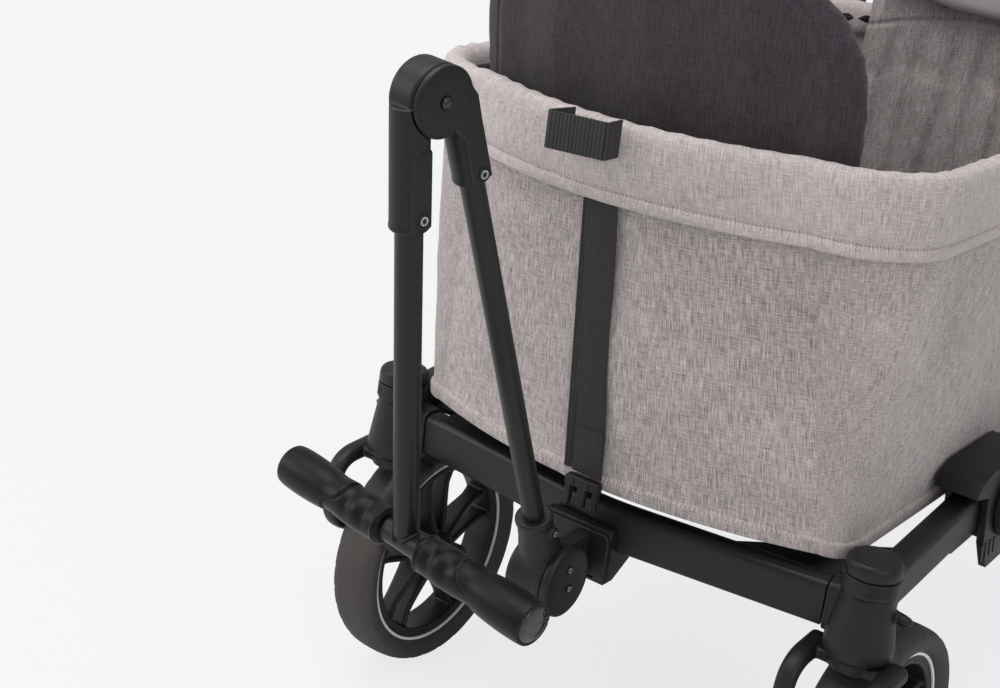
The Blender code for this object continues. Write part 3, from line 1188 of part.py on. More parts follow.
def handle_stem(side_name, top):
    side = SIDES[side_name]
    name = "handle_stem_" + side_name
    foot = Vector((STEM_X, REAR_AXLE_Y + STEM_FOOT_Y, top - 0.008 + SEAT_GAP))
    hinge = Vector((STEM_X, REAR_AXLE_Y + STEM_TOP_Y, STEM_TOP_Z))
    path = rounded_path([foot, foot + Vector((0, 0, STEM_STRAIGHT)), hinge], STEM_BEND_RADIUS, 3)
    stem = tube(name, mirrored(side, path), STEM_TUBE_RADIUS, COATED)
    low, high = side * (STEM_X - STEM_TUBE_RADIUS - 0.001), side * (STEM_X + STEM_HUB_WIDTH / 2)
    hub = rod(name + "_hub", (low, hinge.y, hinge.z), (high, hinge.y, hinge.z), STEM_HUB_RADIUS, sides=20)
    unite(stem, hub)


def push_handle():
    handle_x = STEM_X + STEM_HUB_WIDTH / 2 + RUN_GAP + STEM_HUB_WIDTH / 2
    hinge_y, hinge_z = REAR_AXLE_Y + STEM_TOP_Y, STEM_TOP_Z
    top_y, top_z = hinge_y + HANDLE_REACH, hinge_z + HANDLE_RISE
    path = rounded_path([
        (handle_x, hinge_y, hinge_z), (handle_x, top_y, top_z), (-handle_x, top_y, top_z),
        (-handle_x, hinge_y, hinge_z),
    ], HANDLE_CORNER, 4)
    handle = tube("push_handle", path, HANDLE_TUBE_RADIUS, COATED)
    hubs = []
    for side in SIDES.values():
        low = side * (handle_x - STEM_HUB_WIDTH / 2)
        high = side * (handle_x + STEM_HUB_WIDTH / 2 + 0.003)
        hubs.append(rod(
            f"push_handle_hub_{side}", (low, hinge_y, hinge_z), (high, hinge_y, hinge_z), STEM_HUB_RADIUS,
            sides=20,
        ))
    stem_room = [
        rod(f"push_handle_room_{side}", (side * (STEM_X - 0.03), hinge_y, hinge_z),
            (side * (handle_x - STEM_HUB_WIDTH / 2), hinge_y, hinge_z), STEM_HUB_RADIUS + 0.004, sides=20)
        for side in SIDES.values()
    ]
    cut(unite(handle, *hubs), *stem_room)
    grip = rod(
        "push_grip", (-PUSH_GRIP_HALF_LENGTH, top_y, top_z), (PUSH_GRIP_HALF_LENGTH, top_y, top_z),
        PUSH_GRIP_RADIUS,
        RUBBER, sides=20, bevel=0.003,
    )
    room = rod(
        "push_grip_room", (-0.3, top_y, top_z), (0.3, top_y, top_z), HANDLE_TUBE_RADIUS + SEAT_GAP,
        sides=20,
    )
    cut(grip, room)


def front_end():
    crossbar("front", -1, BAR_END_X)
    for side_name, side in SIDES.items():
        rail("front", side_name, RAIL_START)
        caster_housing(side_name)
        caster_cap(side_name)
        corner_gusset(side_name)
        caster_fork(side_name)
        wheel("front_wheel_" + side_name, side * CASTER_X, CASTER_Y + CASTER_TRAIL)


def middle():
    centre_frame()
    for end_name in ENDS:
        for side_name in SIDES:
            fold_block(end_name, side_name)
    for side_name in SIDES:
        rim_post(side_name)
    for end_name in ENDS:
        rim_hoop(end_name)
    basket_shell()
    basket_floor()
    seat_back("front", CHARCOAL)
    seat_back("rear", HEATHER)
    strap_and_buckle()
    loop_tab()


front_end()
rear_end()
middle()
pull_bar()
push_handle()
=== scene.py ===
"""Folding stroller wagon in the studio: the CAD frame dressed in its moulded, coated and sewn pieces."""

import math

import bmesh
import bpy
import numpy as np
from mathutils import Matrix, Vector, noise


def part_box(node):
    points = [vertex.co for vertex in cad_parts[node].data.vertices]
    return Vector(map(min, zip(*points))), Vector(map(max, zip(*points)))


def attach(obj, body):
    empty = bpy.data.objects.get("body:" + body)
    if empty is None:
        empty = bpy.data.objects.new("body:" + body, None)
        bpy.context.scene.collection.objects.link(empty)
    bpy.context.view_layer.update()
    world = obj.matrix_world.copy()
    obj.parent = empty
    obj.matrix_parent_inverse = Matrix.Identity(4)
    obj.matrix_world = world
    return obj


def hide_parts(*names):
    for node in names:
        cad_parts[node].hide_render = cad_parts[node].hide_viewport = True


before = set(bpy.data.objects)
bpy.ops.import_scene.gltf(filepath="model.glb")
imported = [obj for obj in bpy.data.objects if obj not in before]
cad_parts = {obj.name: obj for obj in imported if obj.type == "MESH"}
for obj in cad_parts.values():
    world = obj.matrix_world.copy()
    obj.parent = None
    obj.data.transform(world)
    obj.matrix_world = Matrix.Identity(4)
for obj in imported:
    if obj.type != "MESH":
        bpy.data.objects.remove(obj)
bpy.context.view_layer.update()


# The places that every section below is laid out from, in metres.
def middle_y(node):
    low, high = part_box(node)
    return ((low + high) / 2).y


SIDES = (("left", -1), ("right", 1))
TRACK_HALF = 0.275
TRAIL = 0.0715
CASTER_Y = middle_y("front_axle_right") - TRAIL

# The studio: a pale floor, a large soft lamp above, one from the left and a weaker one from the right.
# The camera stands in front and to the right, a little over a metre up, with a short telephoto lens.
bpy.ops.object.camera_add(location=(0.78637, CASTER_Y - 1.33124, 1.0407))
camera = bpy.context.object
across = Vector((0.7867, 0.6076, 0.1097)).normalized()
back = Vector((0.5414, -0.7643, 0.3505)).normalized()
above = back.cross(across).normalized()
turned = Matrix((across, above, back)).transposed().to_4x4()
camera.matrix_world = Matrix.Translation(camera.location) @ turned
camera.data.lens = 62.42
camera.data.sensor_width = 36.0
bpy.context.scene.camera = camera
bpy.context.scene.view_settings.view_transform = "Standard"


def lamp(name, place, aim, size, power):
    bpy.ops.object.light_add(type="AREA", location=place)
    made = bpy.context.object
    made.name = name
    made.data.size = size
    made.data.energy = power
    made.rotation_euler = (Vector(aim) - Vector(place)).to_track_quat("-Z", "Y").to_euler()


lamp("top_lamp", (-0.6, -0.9, 3.2), (0.0, 0.0, 0.4), 2.4, 62)
lamp("left_lamp", (-3.0, -2.2, 1.7), (0.0, -0.2, 0.4), 1.8, 34)
lamp("right_lamp", (2.8, -1.6, 2.2), (0.0, -0.1, 0.5), 2.2, 26)


class Value:
    """A shader socket that Python's operators build Math nodes on."""

    def __init__(self, finish, socket):
        self.finish, self.socket = finish, socket

    def math(self, operation, *others, clamp=False):
        return self.finish.node("Math", {"operation": operation, "use_clamp": clamp}, list(others))

    def __add__(self, other):
        return self.math("ADD", self, other)

    def __sub__(self, other):
        return self.math("SUBTRACT", self, other)

    def __mul__(self, other):
        return self.math("MULTIPLY", self, other)

    def __truediv__(self, other):
        return self.math("DIVIDE", self, other)

    def __radd__(self, other):
        return self.math("ADD", other, self)

    def __rsub__(self, other):
        return self.math("SUBTRACT", other, self)

    def __rmul__(self, other):
        return self.math("MULTIPLY", other, self)

    def sin(self):
        return self.math("SINE", self)

    def abs(self):
        return self.math("ABSOLUTE", self)

    def fract(self):
        return self.math("FRACT", self)

    def above(self, edge, soft):
        """0 below the edge and 1 above it, over a soft step."""
        return self.math("ADD", (self - edge) / soft, 0.5, clamp=True)


class Finish:
    """One procedural material, with a single method that adds any node."""

    def __init__(self, name):
        self.material = bpy.data.materials.new(name)
        self.material.use_nodes = True
        self.tree = self.material.node_tree
        self.shader = self.tree.nodes["Principled BSDF"]

    def node(self, kind, settings=None, values=(), output=0):
        made = self.tree.nodes.new("ShaderNode" + kind)
        for key, value in (settings or {}).items():
            setattr(made, key, value)
        pairs = values.items() if isinstance(values, dict) else enumerate(values)
        for key, value in pairs:
            if isinstance(value, Value):
                self.tree.links.new(value.socket, made.inputs[key])
            else:
                made.inputs[key].default_value = value
        return Value(self, made.outputs[output])

    def place(self, scale=(1, 1, 1), cloth=False):
        """Object coordinates, or the piece's own cloth map in metres, scaled."""
        source = self.node("UVMap", {"uv_map": "cloth"}) if cloth else self.node("TexCoord", output="Object")
        return self.node("Mapping", {}, {"Vector": source, "Scale": scale})

    def cloth_map(self):
        """(across, up) of the piece's own cloth map, in metres."""
        uv = self.node("SeparateXYZ", {}, [self.place(cloth=True)])
        return uv, Value(self, uv.socket.node.outputs[1])

    def noise(self, place, scale=1.0, detail=2.0, rough=0.5):
        return self.node("TexNoise", {}, {"Vector": place, "Scale": scale, "Detail": detail,
                                          "Roughness": rough})

    def mix(self, share, one, two):
        return self.node("Mix", {"data_type": "RGBA"}, {0: share, 6: one, 7: two}, output=2)

    def bump(self, height, strength, distance):
        return self.node("Bump", {}, {"Height": height, "Strength": strength, "Distance": distance})

    def shade(self, **sockets):
        for key, value in sockets.items():
            target = self.shader.inputs[key.replace("_", " ").title().replace("Ior", "IOR")]
            if isinstance(value, Value):
                self.tree.links.new(value.socket, target)
            else:
                target.default_value = value
        return self.material


def colour(red, green, blue):
    return (red, green, blue, 1.0)


PALE = colour(0.93, 0.93, 0.935)
floor = Finish("studio_floor")
far = floor.node("VectorMath", {"operation": "LENGTH"}, [floor.place()], output="Value").above(1.6, 2.6)
glow = floor.node("Emission", {}, {"Color": PALE, "Strength": 1.0})
seen = floor.node("LightPath", output="Is Camera Ray")
self_lit = seen * (far * 0.13 + 0.83)
floor.shader.inputs["Base Color"].default_value = colour(0.80, 0.80, 0.805)
floor.shader.inputs["Roughness"].default_value = 0.9
blend = floor.node("MixShader", {}, {0: self_lit, 1: Value(floor, floor.shader.outputs[0]), 2: glow})
floor.tree.links.new(blend.socket, floor.tree.nodes["Material Output"].inputs["Surface"])
bpy.ops.mesh.primitive_plane_add(size=40, location=(0, 0, 0))
studio = bpy.context.object
studio.name = "studio_floor"
studio.data.materials.append(floor.material)

world = bpy.data.worlds.new("studio_light")
bpy.context.scene.world = world
world.use_nodes = True
nodes, link = world.node_tree.nodes, world.node_tree.links.new
light = nodes["Background"]
light.inputs["Color"].default_value = colour(0.95, 0.96, 1.0)
light.inputs["Strength"].default_value = 0.50
plain = nodes.new("ShaderNodeBackground")
plain.inputs["Color"].default_value = PALE
ray = nodes.new("ShaderNodeLightPath")
either = nodes.new("ShaderNodeMixShader")
for number, output in enumerate((ray.outputs["Is Camera Ray"], light.outputs[0], plain.outputs[0])):
    link(output, either.inputs[number])
link(either.outputs[0], nodes["World Output"].inputs["Surface"])


# The basket: one double wall of heathered cloth, sewn to a bottom hem and folded over the rim hoops
# into a deep cuff whose lower edge is bound and double-stitched. It hangs slightly slack between them.
HEM_Z, CUFF_Z, RIM_Z = 0.3472, 0.6357, 0.7097
END_REACH = 0.395
MIDDLE_Y = CASTER_Y + END_REACH


def pick(obj):
    """Leaves only this object selected and active."""
    bpy.ops.object.select_all(action="DESELECT")
    obj.select_set(True)
    bpy.context.view_layer.objects.active = obj


def smooth(obj, angle):
    """Shades the piece smooth except at edges sharper than the angle, in degrees."""
    pick(obj)
    bpy.ops.object.shade_smooth_by_angle(angle=math.radians(angle))
    return obj


def skin(name, rings, wrap=False, cloth=None):
    """A skin extruded ring by ring from a circle. cloth is (u of each column, v of each ring), in metres."""
    bpy.ops.object.select_all(action="DESELECT")
    count = len(rings[0])
    bpy.ops.mesh.primitive_circle_add(vertices=count)
    obj = bpy.context.object
    obj.name = obj.data.name = name
    bpy.ops.object.mode_set(mode="EDIT")
    bpy.ops.mesh.select_all(action="SELECT")
    bm = bmesh.from_edit_mesh(obj.data)
    column = bm.verts.layers.int.new("column")
    row = bm.verts.layers.int.new("row")
    for number, vertex in enumerate(bm.verts):
        vertex[column] = number
        vertex.co = rings[0][number]
    for number, ring in enumerate(rings[1:] + (rings[:1] if wrap else []), 1):
        bpy.ops.mesh.extrude_region_move()
        bm = bmesh.from_edit_mesh(obj.data)
        column, row = bm.verts.layers.int["column"], bm.verts.layers.int["row"]
        for vertex in bm.verts:
            if vertex.select:
                vertex.co = ring[vertex[column]]
                vertex[row] = number
    if cloth:
        around, along = cloth
        sheet = bm.loops.layers.uv.new("cloth")
        for face in bm.faces:
            columns = [loop.vert[column] for loop in face.loops]
            past_seam = max(columns) - min(columns) > 1
            for loop, place in zip(face.loops, columns):
                u = around[count] if past_seam and place == 0 else around[place]
                loop[sheet].uv = (u, along[loop.vert[row]])
    bmesh.update_edit_mesh(obj.data)
    bpy.ops.mesh.select_all(action="SELECT")
    if wrap:
        bpy.ops.mesh.remove_doubles(threshold=0.000001)
    else:
        bpy.ops.mesh.fill_holes(sides=0)
    bpy.ops.mesh.select_all(action="SELECT")
    bpy.ops.mesh.normals_make_consistent(inside=False)
    bpy.ops.object.mode_set(mode="OBJECT")
    return smooth(obj, 40)


def basket_plan(half_width, bow, corner, corner_y):
    """The basket's closed outline at one height: bowed ends, rounded corners and straight sides."""
    flat = -END_REACH - corner_y
    centre = Vector((half_width - corner, flat + corner))
    quarter = [(centre.x * i / 24, flat - bow * (1 - (i / 24) ** 2)) for i in range(24)]
    for i in range(19):
        turn = math.radians(-90 + 5 * i)
        quarter.append((centre.x + corner * math.cos(turn), centre.y + corner * math.sin(turn)))
    quarter += [(half_width, centre.y * (1 - i / 30)) for i in range(1, 31)]
    right = quarter + [(x, -y) for x, y in reversed(quarter[:-1])]
    return [Vector(p) for p in right + [(-x, y) for x, y in reversed(right[1:-1])]]


hem_plan = basket_plan(0.2443, 0.046, 0.023, 0.0016)
rim_plan = basket_plan(0.265, 0.046, 0.095, 0.050)


def lengths(points):
    total = [0.0]
    for one, two in zip(points, points[1:] + points[:1]):
        total.append(total[-1] + (two - one).length)
    return total


rim_length = lengths(rim_plan)


def wall_slack(place, share):
    """How far the slack wall stands out from the straight line between hem and cuff."""
    belly = 0.0045 * math.sin(math.pi * share) * (0.6 + 0.8 * noise.noise(Vector((place * 2.1, 3.7, share))))
    drawn = math.sin(math.pi * min(share * 1.15, 1.0)) ** 0.7
    folds = 0.0022 * noise.noise(Vector((place * 9.0 + share * 3.0, share * 2.2, 11.3)))
    fine = 0.0009 * noise.noise(Vector((place * 30.0 - share * 7.0, share * 9.0, 5.1)))
    return belly + drawn * (folds + fine)


def rim_ripple(place):
    """The small scallops where the cuff's cloth is gathered over the hoop."""
    gather = 0.5 + 0.5 * noise.noise(Vector((place * 3.0, 0.3, 8.8)))
    return 0.0016 * gather * (math.sin(place * 230.0 + 2.5 * noise.noise(Vector((place * 7.0, 1.0, 2.0))))
                              - 0.3)


def basket_ring(z, proud, slack=0.0, ripple=0.0):
    share = (z - HEM_Z) / (RIM_Z - HEM_Z)
    plan = [a.lerp(b, share) for a, b in zip(hem_plan, rim_plan)]
    ring = []
    for i, point in enumerate(plan):
        along = plan[(i + 1) % len(plan)] - plan[i - 1]
        out = Vector((along.y, -along.x)).normalized()
        reach = proud + slack * wall_slack(rim_length[i], share)
        rise = ripple * rim_ripple(rim_length[i])
        ring.append(Vector((point.x + out.x * reach, MIDDLE_Y + point.y + out.y * reach, z + rise)))
    return ring


basket_steps = [(HEM_Z + 0.0012, -0.0030, 0, 0), (HEM_Z + 0.0002, 0.0, 0, 0),
                (HEM_Z + 0.0008, 0.0022, 0, 0), (HEM_Z + 0.0030, 0.0034, 0, 0),
                (HEM_Z + 0.0130, 0.0036, 0.3, 0), (HEM_Z + 0.0155, 0.0030, 0.3, 0),
                (HEM_Z + 0.0170, 0.0008, 0.5, 0)]
wall_foot, wall_head = HEM_Z + 0.020, CUFF_Z + 0.004
WALL_RINGS, LINING_RINGS = 35, 22
hem_rings = len(basket_steps)
basket_steps += [(wall_foot + (wall_head - wall_foot) * i / (WALL_RINGS - 1), 0.0, 1.0, 0)
                 for i in range(WALL_RINGS)]
basket_steps += [(CUFF_Z + 0.0030, 0.0050, 0, 0), (CUFF_Z + 0.0006, 0.0072, 0, 0), (CUFF_Z, 0.0092, 0, 0),
                 (CUFF_Z + 0.0016, 0.0108, 0, 0), (CUFF_Z + 0.0085, 0.0110, 0, 0),
                 (CUFF_Z + 0.0105, 0.0098, 0, 0), (CUFF_Z + 0.0115, 0.0080, 0, 0.1),
                 (CUFF_Z + 0.0130, 0.0086, 0, 0.2)]
basket_steps += [(CUFF_Z + 0.018 + 0.0075 * i,
                  0.0086 - 0.0004 * i + 0.0024 * math.sin(math.pi * (i + 1) / 8), 0.2, 0.12 * i)
                 for i in range(7)]
basket_steps += [(RIM_Z - 0.0035, 0.0046, 0, 1), (RIM_Z - 0.0008, 0.0016, 0, 1.1), (RIM_Z, -0.0040, 0, 1.1),
                 (RIM_Z - 0.0006, -0.0100, 0, 1), (RIM_Z - 0.0045, -0.0150, 0, 0.8),
                 (RIM_Z - 0.0110, -0.0176, 0, 0.3), (RIM_Z - 0.0240, -0.0180, 0, 0),
                 (RIM_Z - 0.0340, -0.0168, 0, 0), (RIM_Z - 0.0410, -0.0120, 0, 0),
                 (RIM_Z - 0.0440, -0.0060, 0, 0), (RIM_Z - 0.0500, -0.0045, 0, 0)]
basket_steps += [(RIM_Z - 0.055 - 0.0135 * i, -0.0040, 0.0, 0) for i in range(LINING_RINGS)]
basket_rings = [basket_ring(*step) for step in basket_steps]
lining_from = len(basket_steps) - LINING_RINGS
for number in range(lining_from, len(basket_rings)):
    hang = math.sin(math.pi * (number - lining_from) / (LINING_RINGS - 1))
    for i, point in enumerate(basket_rings[number]):
        pleat = 0.5 + 0.5 * math.sin(rim_length[i] * 2 * math.pi / 0.055 + 1.5 * noise.noise(point * 6.0))
        inward = Vector((-point.x, MIDDLE_Y - point.y, 0)).normalized()
        basket_rings[number][i] = point + inward * 0.0042 * pleat * hang
basket_rise = lengths([Vector((0, step[1], step[0])) for step in basket_steps])
basket = skin("basket_cloth", basket_rings, wrap=True, cloth=(rim_length, basket_rise))


def woven(name, light, dark, grain=1.0, sheen=0.12, stitches=(), paler_from=None):
    """Slub-yarn cloth: short light and dark streaks both ways over a plain weave, with rows of stitches whose
    holes are painted near black as painted shade.
    """
    finish = Finish(name)
    weft = finish.noise(finish.place((110 / grain, 1900 / grain, 1), cloth=True), 1.0, 3.0, 0.6)
    warp = finish.noise(finish.place((1900 / grain, 70 / grain, 1), cloth=True), 1.0, 3.0, 0.6)
    slub = finish.noise(finish.place((60 / grain, 800 / grain, 1), cloth=True), 1.0, 2.0, 0.5)
    slub_up = finish.noise(finish.place((800 / grain, 45 / grain, 1), cloth=True), 1.0, 2.0, 0.5)
    cloud = finish.noise(finish.place((7, 7, 1), cloth=True), 1.0, 3.0, 0.55)
    yarns = weft * 0.30 + warp * 0.36 + slub * 0.14 + slub_up * 0.20
    streak = (yarns - 0.5) * 5.6 + (cloud - 0.5) * 0.6 + 0.5
    base = finish.mix(streak.above(0.5, 1.0), dark, light)
    across_cloth, up_cloth = finish.cloth_map()
    if paler_from:
        base = finish.mix(up_cloth.above(paler_from, 0.0005) * 0.22, base, colour(0.72, 0.65, 0.63))
    yarn = (across_cloth * (2 * math.pi / 0.0011)).sin() * (up_cloth * (2 * math.pi / 0.0011)).sin()
    height = yarn * 0.30 + streak * 0.55
    for level, pitch in stitches:
        line = 1 - ((up_cloth - level).abs() - 0.0008).above(0.0, 0.0005)
        dash = (across_cloth / pitch).fract().above(0.25, 0.1)
        base = finish.mix(line * dash * 0.55, base, light)
        # Between the stitches the seam is painted near black: painted shade in the stitch holes.
        base = finish.mix(line * (1 - dash) * 0.50, base, colour(*[0.35 * c for c in dark[:3]]))
        height = height - line * (1 - dash) * 2.2 + line * dash * 0.9
    finish.shade(base_color=base, roughness=0.92, normal=finish.bump(height, 0.55, 0.00045),
                 sheen_weight=sheen, sheen_roughness=0.5)
    return finish.material


LIGHT_YARN, DARK_YARN = colour(0.66, 0.585, 0.565), colour(0.175, 0.148, 0.142)
cuff_start = basket_rise[hem_rings + WALL_RINGS]
seams = ((basket_rise[5] - 0.0012, 0.0036), (cuff_start + 0.0165, 0.0034), (cuff_start + 0.0205, 0.0034))
heather = woven("heather_cloth", LIGHT_YARN, DARK_YARN, stitches=seams,
                paler_from=cuff_start)


def fit(obj, material, body, slot_name, *nodes):
    """Gives a piece its finish and its moving body, and hides the solids that it stands for. slot_name is not
    used.
    """
    obj.data.materials.clear()
    obj.data.materials.append(material)
    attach(obj, body)
    if nodes:
        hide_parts(*nodes)


fit(basket, heather, "centre_frame", "heather_fabric", "basket")

# The front and rear crossbars and the four rails: powder-coated steel tube with rounded edges. Each bar is
# bent forward at its middle; each rail rises from its corner to the fold block.
BAR_Z, BAR_END = 0.3032, 0.2342
RAIL_Z = 0.3242
FOLD_Z, FOLD_REACH = 0.3547, 0.130


def joined(parts):
    """Makes one object of several, under the first one's name."""
    pick(parts[0])
    for part in parts[1:]:
        part.select_set(True)
    bpy.ops.object.join()
    return parts[0]


def modify(obj, kind, **settings):
    """Adds one modifier and applies it."""
    pick(obj)
    made = obj.modifiers.new(kind.lower(), kind)
    for key, value in settings.items():
        setattr(made, key, value)
    bpy.ops.object.modifier_apply(modifier=made.name)
    return obj


def rounded(corners, radius, steps=8):
    """A path through the corners with each inner corner rounded."""
    corners = [Vector(c) for c in corners]
    path = [corners[0]]
    for before, corner, after in zip(corners, corners[1:], corners[2:]):
        one, two = (before - corner).normalized(), (after - corner).normalized()
        half = one.angle(two) / 2
        cut = min(radius / math.tan(half), (before - corner).length * 0.49, (after - corner).length * 0.49)
        start, end = corner + one * cut, corner + two * cut
        for i in range(steps + 1):
            t = i / steps
            path.append(start * (1 - t) ** 2 + corner * 2 * t * (1 - t) + end * t ** 2)
    return path + [corners[-1]]


def box_section(width, height, top_radius, bottom_radius, steps=5):
    """A rounded rectangle, as points round its edge."""
    points = []
    for quarter, radius in enumerate((top_radius, top_radius, bottom_radius, bottom_radius)):
        sign_x, sign_z = ((1, 1), (-1, 1), (-1, -1), (1, -1))[quarter]
        for i in range(steps + 1):
            turn = math.radians(90 * quarter + 90 * i / steps)
            points.append((sign_x * (width / 2 - radius) + radius * math.cos(turn),
                           sign_z * (height / 2 - radius) + radius * math.sin(turn)))
    return points


def circle_section(radius, count=32):
    return [(radius * math.cos(2 * math.pi * i / count), radius * math.sin(2 * math.pi * i / count))
            for i in range(count)]


def sweep(name, path, section, up=(0, 0, 1), size=None, wrap=False, cloth=None):
    """A skin of one section carried along a path without twist."""
    rings, up = [], Vector(up)
    for i, point in enumerate(path):
        if wrap:
            ahead = path[(i + 1) % len(path)] - path[i - 1]
        else:
            ahead = path[min(i + 1, len(path) - 1)] - path[max(i - 1, 0)]
        side = ahead.cross(up).normalized()
        up = side.cross(ahead).normalized()
        scale = size(i / (len(path) - 1)) if size else 1
        rings.append([point + (side * a + up * b) * scale for a, b in section])
    return skin(name, rings, wrap, cloth)


def coating(name, shade, rough, grain, depth, metallic=0.0, coat=0.0, gloss=0.34):
    """A plain finish with slight mottling and a fine grain."""
    finish = Finish(name)
    place = finish.place()
    mottle = finish.noise(place, 9.0, 4.0, 0.6)
    speck = finish.noise(place, grain, 2.0, 0.6)
    base = finish.mix(mottle, colour(*[c * 0.82 for c in shade]), colour(*[c * 1.22 for c in shade]))
    return finish.shade(base_color=base, roughness=(mottle - 0.5) * 0.16 + (speck - 0.5) * 0.10 + rough,
                        normal=finish.bump(speck, 0.5, depth), metallic=metallic, coat_weight=coat,
                        specular_ior_level=gloss)


tube_black = coating("powder_coat", (0.0085, 0.0080, 0.0084), 0.38, 1400, 0.00012)
plastic_black = coating("moulded_plastic", (0.0090, 0.0085, 0.0088), 0.44, 2200, 0.00008)


def bar_y(x):
    return CASTER_Y - 0.131 * (TRACK_HALF - abs(x)) + 0.014


bar_path = rounded([(x, bar_y(x), BAR_Z) for x in (-BAR_END, 0, BAR_END)], 0.30, 24)
bar_section = box_section(0.026, 0.045, 0.009, 0.0035)
fit(sweep("front_bar", bar_path, bar_section), tube_black, "front_chassis", "coated_tube", "front_crossbar")
rear_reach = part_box("rear_crossbar")[1][0] - 0.0003
rear_path = [Vector((p.x * rear_reach / BAR_END, 2 * MIDDLE_Y - p.y, p.z)) for p in bar_path]
fit(sweep("rear_bar", rear_path, bar_section), tube_black, "rear_chassis", "coated_tube", "rear_crossbar")

rail_section = box_section(0.0276, 0.0436, 0.009, 0.009)
for end, chassis in (("front", "front_chassis"), ("rear", "rear_chassis")):
    for side_name, side in SIDES:
        node = f"{end}_rail_{side_name}"
        low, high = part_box(node)
        sign = -1 if end == "front" else 1
        corner_y = low[1] if sign < 0 else high[1]
        fold_y = MIDDLE_Y + sign * FOLD_REACH
        path = [Vector((side * TRACK_HALF, corner_y + (fold_y - corner_y) * t,
                        RAIL_Z + (FOLD_Z - RAIL_Z) * u))
                for t, u in ((0.0, 0.03), (0.25, 0.27), (0.5, 0.51), (0.75, 0.755), (0.90, 0.90))]
        rail = sweep(node + "_tube", path, rail_section)
        place = path[0].lerp(path[-1], 0.16)
        bolt = sweep("bolt", [place - Vector((0, 0, drop)) for drop in (0.0225, 0.0205)],
                     circle_section(0.005, 24), up=(1, 0, 0))
        fit(joined([rail, bolt]), tube_black, chassis, "coated_tube", node)


# The moulded corner pieces of the front end: housings with their caps, collars for bar and rail, and a
# release knob. They are glass-filled black plastic, satin, with soft edges; the caps snap on.
def lathe(name, profile, start, along, columns=64, wrap=False, side=None, shape=None):
    """A skin turned about an axis from (radius, distance along it) pairs."""
    along = Vector(along).normalized()
    side = Vector(side) if side else along.orthogonal().normalized()
    across = along.cross(side)
    rings = []
    for radius, distance in profile:
        ring = []
        for i in range(columns):
            turn = 2 * math.pi * i / columns
            reach = shape(turn, radius, distance) if shape else radius
            ring.append(Vector(start) + along * distance + (side * math.cos(turn) + across * math.sin(turn))
                        * reach)
        rings.append(ring)
    return skin(name, rings, wrap)


def board(name, outline, low, high):
    """A flat outline in y and z, drawn out along x from low to high."""
    return skin(name, [[Vector((x, y, z)) for y, z in outline] for x in (low, high)])


def soften(obj, width, segments=3, angle=30):
    modify(obj, "BEVEL", width=width, segments=segments, limit_method="ANGLE",
           angle_limit=math.radians(angle))
    return smooth(obj, 40)


def moulded(name, parts, grain=0.0010, passes=5, cutters=()):
    """Joins closed shapes, fuses them as one moulding and rounds their inner and outer corners."""
    obj = joined(parts)
    obj.name = obj.data.name = name
    modify(obj, "REMESH", mode="VOXEL", voxel_size=grain)
    modify(obj, "SMOOTH", factor=0.5, iterations=passes)
    for cutter in cutters:
        modify(obj, "BOOLEAN", operation="DIFFERENCE", object=cutter, solver="EXACT")
        bpy.data.objects.remove(cutter)
    return smooth(obj, 50)


HOUSING_FOOT = 0.2704


def knurled(turn, radius, distance):
    """Eight upright grooves on the cap's skirt, on the outer front side."""
    place = math.degrees(turn) % 360
    if 0.004 < distance < 0.0145 and 286 < place < 334:
        return radius - 0.0006 * (math.sin(math.radians(place * 60)) > 0)
    return radius


